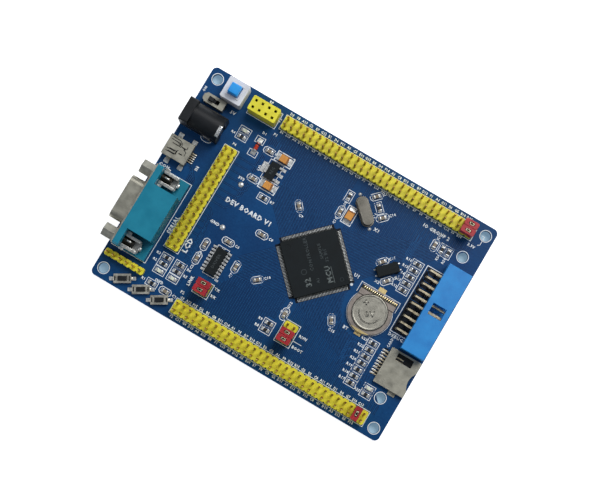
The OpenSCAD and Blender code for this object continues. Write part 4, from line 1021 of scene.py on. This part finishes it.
# %% Solder at the chips' leads
for name, reach, wide in (("transceiver_leads", 0.5, 0.55), ("regulator_leads", 0.8, 0.95)):
    for lead in solids_of(name):
        place = frame_of(lead)
        low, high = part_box(name)
        centre_x = (low.x + high.x) / 2
        side = 1 if (lead["x"] > centre_x) == (math.cos(lead["turn"]) > 0) else -1
        foot = side * (lead["length"] / MM / 2 - 0.1)
        if name == "regulator_leads" and lead["width"] > 1.5 * MM:
            block(solder, Matrix.Translation((lead["x"], lead["y"], 0)), -0.6, 0, (1.9, 3.8),
                  top - 0.02 * MM, top + 0.16 * MM, 0.05)
            continue
        block(solder, place, foot - side * 0.1, 0, (reach + 1.0, wide + 0.2), top - 0.02 * MM, top + 0.11 * MM, 0.03)
pad_row = bmesh.new()
for lead in leads:
    away = (Vector((lead["x"], lead["y"])) - centre)
    angle = math.radians(45 + 90 * round((math.degrees(math.atan2(away.y, away.x)) - 45) / 90))
    foot = Matrix.Translation((lead["x"], lead["y"], 0)) @ Matrix.Rotation(angle, 4, "Z")
    block(pad_row, foot, 0.45, 0, (1.1, 0.2), top - 0.02 * MM, top + 0.05 * MM)
finished(pad_row, "controller_pads", bright_tin)
# The controller's leads are bright tin on their feet and darker above them: painted shade on the shoulders under the
# package's edge.
lead_tin_shaded_shoulders = tinted("lead_tin_shaded_shoulders", "Z", [(1.3, 2.1)], paint(116, 118, 116), paint(240, 242, 240), 0.3)
dress(lead_tin_shaded_shoulders, "controller_leads")
dress(bright_tin, "regulator_leads", "transceiver_leads")
print("lead solder laid")

# %% Test pads and rings on the top face
for x, y in ((31.3, 36.5), (29.2, 52.5)):
    dome = bmesh.new()
    turned_shape(dome, [(0, 0.4), (0.4, 0.37), (0.75, 0.25), (0.98, 0.06), (1.0, -0.02), (0, -0.02)], 18)
    stamp(solder, pattern_of(dome, "dome"), Matrix.Translation((*spot(x, y), top)))
low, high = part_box("clock_crystal")
place = Matrix.Translation(((low.x + high.x) / 2, (low.y + high.y) / 2, 0)) @ Matrix.Rotation(math.pi / 4, 4, "Z")
for along, across in ((-1, -1), (-1, 1), (1, -1), (1, 1)):
    block(solder, place, along * 4.15, across * 1.1, (0.9, 0.6), top - 0.02 * MM, top + 0.3 * MM, 0.08)
for side in (-1, 1):
    blob = bmesh.new()
    turned_shape(blob, [(0, 0.62), (0.3, 0.56), (0.52, 0.36), (0.66, 0.05), (0.68, -0.02), (0, -0.02)], 16)
    low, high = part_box("main_crystal")
    at = (low + high) / 2 + Vector((side * 4.42, -side * 4.42, 0)) * MM
    stamp(solder, pattern_of(blob, "blob"), Matrix.Translation((at.x, at.y, top)))
via = bmesh.new()
turned_shape(via, [(0.15, -0.02), (0.15, 0.045), (0.34, 0.045), (0.34, -0.02)], 10)
via_pattern = pattern_of(via, "via")
via_rings = bmesh.new()
for place in vias:
    stamp(via_rings, via_pattern, Matrix.Translation((place.x, place.y, top)))
finished(via_rings, "via_rings", track_mask, smooth=40)
print("vias:", len(vias))

# %% Bare mask and painted shade under fine leads
# No copper is poured under rows of fine leads, so the mask there is darker; it is also painted near black, as painted
# shade under the leads.
bare_shaded = bmesh.new()
bare_level = top + 0.022 * MM
middle = spot(65.06, 41.9)
reach = 15.3 * MM
ways = [Vector(way) * reach for way in ((1, 0), (0, 1), (-1, 0), (0, -1))]
for start, end in zip(ways, ways[1:] + ways[:1]):
    strip(bare_shaded, [middle + start.lerp(end, 0.05), middle + start.lerp(end, 0.95)], 1.7 * MM, bare_level)
for x, y0, y1, width in ((102, 35.8, 60.9, 5.4), (101.5, 18.8, 29.4, 2.2), (10, 49.6, 53.8, 1.9),
                         (33, 20.2, 30.2, 1.9), (38.1, 20.2, 30.2, 1.9)):
    strip(bare_shaded, [spot(x, y0), spot(x, y1)], width * MM, bare_level)
# Near black: bare mask darkened further by painted shade.
bare_shaded_mask = mask_of_tone("bare_shaded_mask", paint(5, 13, 26), paint(7, 17, 34))
sheet_piece(bare_shaded, "bare_shaded_mask_strips", bare_shaded_mask, 0.03 * MM)
print("rows of leads on bare mask: 9")

# %% The coin cell
# The can is rolled over at its edge, and the cap's face is spun, so its faint
# lines are circles. The plus sign is pressed outwards from behind.
cell = bmesh.new()
coin_low, coin_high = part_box("coin_cell")
thick = (coin_high.z - coin_low.z) / MM
turned_shape(cell, [
    (0, 0.02), (5.4, 0.02), (5.7, 0), (5.95, 0.05), (5.95, 0.28), (6.12, 0.34), (6.22, 0.5),
    (6.24, thick - 0.35), (6.2, thick - 0.16), (6.08, thick - 0.04), (5.9, thick),
    (5.7, thick - 0.01), (5.55, thick - 0.07), (5.4, thick - 0.1), (0, thick - 0.1)], 96)
bmesh.ops.translate(cell, verts=cell.verts, vec=(coin_mid.x, coin_mid.y, coin_low.z))
pressed = bmesh.new()
face_level = coin_high.z - 0.065 * MM
mx, my = (coin_mid.xy - board_low.xy) / MM
letters(pressed, "+", mx - 2.7, my + 2.2, 2.6, 30, level=face_level)
letters(pressed, "3V", mx + 0.4, my - 0.6, 2.0, 30, level=face_level)
ring(pressed, mx, my, 4.55, 4.75, face_level, 64)
for k in range(14):
    angle = math.radians(196 + 11.5 * k)
    letters(pressed, "=", mx + 3.8 * math.cos(angle), my + 3.8 * math.sin(angle), 1.0,
            math.degrees(angle) + 90, level=face_level)
cell_steel, shader, place = new_finish("cell_steel", Metallic=1.0)
centred = place.node("ShaderNodeMapping", inputs={
    "Vector": place, "Location": (-coin_mid.x, -coin_mid.y, 0)})
across, along = centred.axis("X"), centred.axis("Y")
squared = across * across + along * along
radius = squared.math("SQRT", squared)
rings = place.node("ShaderNodeCombineXYZ", inputs={0: radius, 1: 0.0, 2: place.axis("Z")}).grain(0.00009, 3)
handled = place.grain(0.0022, 4)
feed(shader,
     Base_Color=(rings * 0.5 + handled * 0.6).between(0.3, 0.8).colours(
         paint(132, 130, 122), paint(172, 170, 160)),
     Roughness=0.46 + (rings - 0.5) * 0.2 + (handled - 0.5) * 0.35,
     Normal=(rings * 0.6 + handled * 0.4).relief(0.00002))
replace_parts(finished(cell, "coin_cell_can", cell_steel, "battery", smooth=40), "coin_cell")
sheet_piece(pressed, "coin_cell_marks", cell_steel, 0.06 * MM, "battery")
print("coin cell thickness in mm:", round(thick, 2))

# %% The battery holder's spring comb, with painted shade between its teeth
comb, gap = bmesh.new(), bmesh.new()
comb_y, holder_top = my + 6.65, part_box("battery_holder")[1].z
for k in range(17):
    block(comb, Matrix.Translation((*spot(mx + (k - 8) * 0.78 + 0.39, comb_y), 0)), 0, 0, (0.4, 0.85),
          holder_top - 0.3 * MM, holder_top + 0.14 * MM, 0.05)
# A black strip under the teeth: painted shade in the gaps between them.
block(gap, Matrix.Translation((*spot(mx, comb_y), 0)), 0, 0, (13.9, 1.25),
      holder_top - 0.2 * MM, holder_top + 0.02 * MM)
round_holder = bmesh.new()
ring(round_holder, mx, my, 7.86, 8.02, ink_level, 72)
strip(round_holder, [spot(82.2, 41.2), spot(82.2, 45), spot(97.4, 45), spot(97.4, 41.2)], 0.2 * MM, ink_level)
comb_gold = plated_metal("comb_gold", paint(252, 240, 204), paint(214, 188, 120), 0.22)
finished(comb, "holder_comb", comb_gold)
finished(gap, "holder_comb_shade", black_plastic)
sheet_piece(round_holder, "ink_round_holder", ink, 0.03 * MM)
print("teeth in the comb: 17")

# %% The jumper caps
# A cap is a red shell with a folded spring inside. The spring shows through
# the slot in the roof as two pale leaves with a dark gap between them.
def islands_of(shape):
    """Splits a bmesh into one new bmesh for each separate solid, the largest first."""
    shape.verts.index_update()
    shape.verts.ensure_lookup_table()
    left, groups = set(range(len(shape.verts))), []
    while left:
        group, front = set(), [left.pop()]
        while front:
            index = front.pop()
            group.add(index)
            for edge in shape.verts[index].link_edges:
                other = edge.other_vert(shape.verts[index]).index
                if other in left:
                    left.discard(other)
                    front.append(other)
        groups.append(group)
    pieces = []
    for group in groups:
        part = shape.copy()
        part.verts.ensure_lookup_table()
        bmesh.ops.delete(part, geom=[v for v in part.verts if v.index not in group], context="VERTS")
        pieces.append(part)
    return sorted(pieces, key=lambda p: -max(v.co.z for v in p.verts))


for name in ("top_jumper_upper", "top_jumper_lower", "bottom_jumper", "serial_jumper_upper",
             "serial_jumper_lower", "boot_jumper_upper", "boot_jumper_lower"):
    whole = joined_copy(name)
    shell, link = islands_of(whole)
    whole.free()
    low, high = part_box(name)
    mid = low.lerp(high, 0.5)
    turn = 0 if high.x - low.x > high.y - low.y else math.pi / 2
    place = Matrix.Translation((mid.x, mid.y, 0)) @ Matrix.Rotation(turn, 4, "Z")
    leaves = bmesh.new()
    for side in (-1, 1):
        block(leaves, place, 0, side * 0.34, (1.7, 0.18), high.z - 1.5 * MM, high.z - 0.18 * MM, 0.05)
        block(leaves, place, side * 0.7, 0, (0.42, 0.74), high.z - 1.4 * MM, high.z - 0.25 * MM, 0.1)
    ease(shell, 0.09 * MM)
    ease(link, 0.03 * MM)
    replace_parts(finished(shell, name + "_shell", red_nylon, body_of[name], 50), name)
    finished(link, name + "_link", tin_plate, body_of[name], 50)
    finished(leaves, name + "_leaves", pale_pins, body_of[name])
print("jumper caps: 7")

# %% Marks on the packages
package_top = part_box("controller_package")[1].z + 0.012 * MM
bright_marks, faint_marks = bmesh.new(), bmesh.new()
letters(bright_marks, "MCU", 71.2, 41.1, 1.9, 135, level=package_top)
strip(bright_marks, [spot(74.5, 39.6), spot(70.3, 43.8)], 0.16 * MM, package_top)
letters(bright_marks, "32", 66.6, 35.1, 2.1, 135, level=package_top)
for words, x, y, tall in (("32 BIT", 66.9, 46.2, 1.15), ("SAMPLE", 64.6, 46.4, 1.1), ("CONTROLLER", 61.6, 43.4, 1.25),
                          ("A1", 69, 37.4, 1.1)):
    letters(faint_marks, words, x, y, tall, 135, level=package_top)
ring(faint_marks, 63.4, 37.4, 0.8, 0.98, package_top, 28)
ring(faint_marks, 75.9, 41.9, 0.55, 0.66, package_top, 28)
for name, words, tall, turn in (("transceiver_package", "DRIVER", 1.1, 90), ("regulator_package", "REG", 1.0, 90)):
    low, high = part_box(name)
    x, y = ((low + high) / 2 - board_low).xy / MM
    letters(faint_marks, words, x, y, tall, turn, level=high.z + 0.012 * MM)


def laser_mark(name, dark, light):
    made, shader, place = new_finish(name, Specular_IOR_Level=0.2)
    burnt = place.grain(0.00012, 3)
    feed(shader, Base_Color=burnt.between(0.3, 0.65).colours(dark, light), Roughness=0.6 + burnt * 0.2)
    return made


sheet_piece(bright_marks, "controller_marks", laser_mark("laser_bright", paint(60, 66, 68), paint(122, 130, 130)),
            0.03 * MM)
sheet_piece(faint_marks, "package_marks", laser_mark("laser_faint", paint(38, 44, 48), paint(72, 79, 82)),
            0.03 * MM)
print("marks burnt")

# %% Clips in the serial connector's pockets
rails, lug = bmesh.new(), bmesh.new()
for side in (-1, 1):
    place = Matrix.Translation((*spot(0, 27.9 + side * 12.5), 0))
    for way in (-1, 1):
        block(rails, place, 8.1, way * 1.95, (5.8, 1.1), 8.9 * MM, 9.5 * MM, 0.14)
        block(rails, place, 6, way * 2.85, (1.7, 1.3), 8.7 * MM, 9.1 * MM, 0.12)
    block(rails, place, 11.5, 0, (1.1, 1.5), 5 * MM, 7.8 * MM, 0.3)
    block(rails, place, 7.2, 0.3, (1.7, 0.6), 9.1 * MM, 9.5 * MM, 0.1)
jack_middle = Matrix.Translation((*spot(0, 64.6), 8.1 * MM))
for k in range(6):
    block(lug, jack_middle @ Matrix.Rotation(math.radians(42 - 9 * k), 4, "X"), 14.35, 0, (1.2, 0.74),
          4.2 * MM, 4.56 * MM, 0.06)
finished(rails, "serial_clips", tin_plate)
finished(lug, "jack_sleeve_contact", bright_tin, smooth=60)
print("clips and sleeve contact made")

# %% The push buttons' end slots and feet
slots = bmesh.new()
frame_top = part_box("push_switch_frames")[1].z
for name in ("push_plunger_left", "push_plunger_middle", "push_plunger_right"):
    low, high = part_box(name)
    mid = low.lerp(high, 0.5)
    place = Matrix.Translation((mid.x, mid.y, 0)) @ Matrix.Rotation(math.radians(30), 4, "Z")
    for side in (-1, 1):
        block(slots, place, side * 2.5, 0, (0.42, 1.7), frame_top - 0.2 * MM, frame_top + 0.012 * MM)
        block(solder, place, side * 4.0, 0, (1.3, 1.35), top - 0.02 * MM, top + 0.34 * MM, 0.13)
finished(slots, "push_switch_slots", black_plastic)
print("push buttons: 3")

# %% Spring tongues cut in the USB shell
cuts = bmesh.new()
shell_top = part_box("usb_shell")[1].z + 0.01 * MM
for path in (((1, 54.75), (4.1, 54.6), (5, 54), (5.35, 53.2), (5, 52.5)), ((1, 53.9), (3.7, 53.7), (4.3, 53.2)),
             ((1, 50.4), (3.9, 50.4), (4.7, 50.9), (5, 51.4)), ((1, 49.4), (4.4, 49.4)),
             ((6.4, 52.9), (7, 52.2), (7.7, 51.9), (7.7, 50.6)), ((7.4, 53.9), (7.4, 53), (6.4, 52.3))):
    strip(cuts, [spot(*point) for point in path], 0.26 * MM, shell_top)
sheet_piece(cuts, "usb_tongue_cuts", black_plastic, 0.03 * MM)
print("tongue cuts: 6")

# %% Solder at shell tabs and contact rows
for x in (2.65, 8.05):
    for y in (46.6, 56.85):
        block(solder, Matrix.Translation((*spot(x, y), 0)), 0, 0, (1.9, 1.7), top - 0.02 * MM, top + 0.4 * MM, 0.3)
for k in range(-2, 3):
    block(solder, Matrix.Translation((*spot(10.1, 51.7 + 0.8 * k), 0)), 0, 0, (1.5, 0.42),
          top - 0.02 * MM, top + 0.1 * MM, 0.03)
for contact in solids_of("card_socket_contacts"):
    block(solder, Matrix.Translation((contact["x"] - contact["length"] / 2, contact["y"], 0)), 0.1, 0, (1.6, 0.62),
          top - 0.02 * MM, top + 0.12 * MM, 0.04)
print("solder faces so far:", len(solder.faces))

# %% Solder cones under every pin
cone = bmesh.new()
turned_shape(cone, [(0, -1.05), (0.3, -1.02), (0.4, -0.6), (0.52, -0.28), (0.78, -0.06), (0.85, 0.02),
                    (0, 0.02)], 10)
cone_pattern = pattern_of(cone, "cone")
cones, tails = bmesh.new(), []
for name in ("top_header_pins", "bottom_header_pins", "display_header_pins", "small_header_pins",
             "radio_socket_contacts", "power_switch_pins", "debug_pins", "serial_contacts",
             "main_crystal", "slide_switch_base"):
    shape = joined_copy(name)
    low_points = [v.co.xy for v in shape.verts if v.co.z < board_low.z - 0.9 * MM]
    shape.free()
    while low_points:
        first = low_points.pop()
        near = [p for p in low_points if (p - first).length < 1.1 * MM]
        low_points = [p for p in low_points if (p - first).length >= 1.1 * MM]
        tails.append(sum(near, first.copy()) / (len(near) + 1))
for tail in sorted(tails, key=lambda t: (round(t.x, 6), round(t.y, 6))):
    stamp(cones, cone_pattern, Matrix.Translation((tail.x, tail.y, board_low.z)))
blades = [(13.9, 64.6, 0.8, 2.4), (7.8, 64.6, 0.8, 2.4), (10.8, 60.1, 2.4, 0.8), (11.1, 40.4, 0.9, 1.9),
          (11.1, 15.4, 0.9, 1.9), (2.5, 72.4, 0.8, 0.9), (10.7, 72.4, 0.8, 0.9)]
for x, y, wide, deep in blades:
    stamp(cones, cone_pattern, Matrix.Translation((*spot(x, y), board_low.z)) @ Matrix.Diagonal((wide, deep, 1, 1)))
finished(cones, "solder_cones", solder_tin, smooth=60)
finished(solder, "solder_slopes", solder_tin, smooth=60)
print("pins with tails:", len(tails))

# %% [markdown]
# ## The underside
# The second copper face carries tracks that cross under the board, from the
# long headers inwards. They are drawn with a seeded random generator, so each
# run gives the same board. The strips are laid as on top, but face down.

# %% Tracks on the underside
draw = random.Random(11)
back_gaps, back_tracks = bmesh.new(), bmesh.new()
lift = 0.0
for k in range(30):
    column = 32 + 2.54 * k
    for y, way in ((77.53, -1), (6.17, 1)):
        first = draw.uniform(4, 26)
        shift = draw.choice((-1, 1)) * draw.uniform(0.6, 1.2)
        route = bent(spot(column, y), (0, way * first), (shift, way * abs(shift)),
                     (0, way * draw.uniform(3, 9)))
        lift += 0.00002 * MM
        level = board_low.z - 0.004 * MM - lift
        strip(back_gaps, route, 0.66 * MM, level)
        strip(back_tracks, route, 0.26 * MM, level - 0.012 * MM)
for k in range(24):
    y = 20 + 1.9 * k + draw.uniform(-0.4, 0.4)
    start = draw.uniform(16, 50)
    bend = draw.choice((-1, 1)) * draw.uniform(0.8, 2.4)
    route = bent(spot(start, y), (draw.uniform(6, 20), 0), (abs(bend), bend), (draw.uniform(6, 26), 0))
    lift += 0.00002 * MM
    level = board_low.z - 0.004 * MM - lift
    strip(back_gaps, route, 0.66 * MM, level)
    strip(back_tracks, route, 0.26 * MM, level - 0.012 * MM)


def back_sheet(shape, name, finish):
    """As sheet_piece, for strips that face down: the thickness goes up, into the board."""
    bmesh.ops.remove_doubles(shape, verts=shape.verts, dist=1e-9)
    bmesh.ops.reverse_faces(shape, faces=[f for f in shape.faces if f.normal.z > 0])
    made = bpy.data.meshes.new(name)
    shape.to_mesh(made)
    shape.free()
    made.materials.append(finish)
    piece = bpy.data.objects.new(name, made)
    bpy.context.scene.collection.objects.link(piece)
    solid = piece.modifiers.new("thickness", "SOLIDIFY")
    solid.thickness, solid.offset = 0.03 * MM, -1
    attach(piece, "board")


back_sheet(back_gaps, "back_gaps", gap_mask)
back_sheet(back_tracks, "back_tracks", track_mask)
print("routes underneath:", 84)
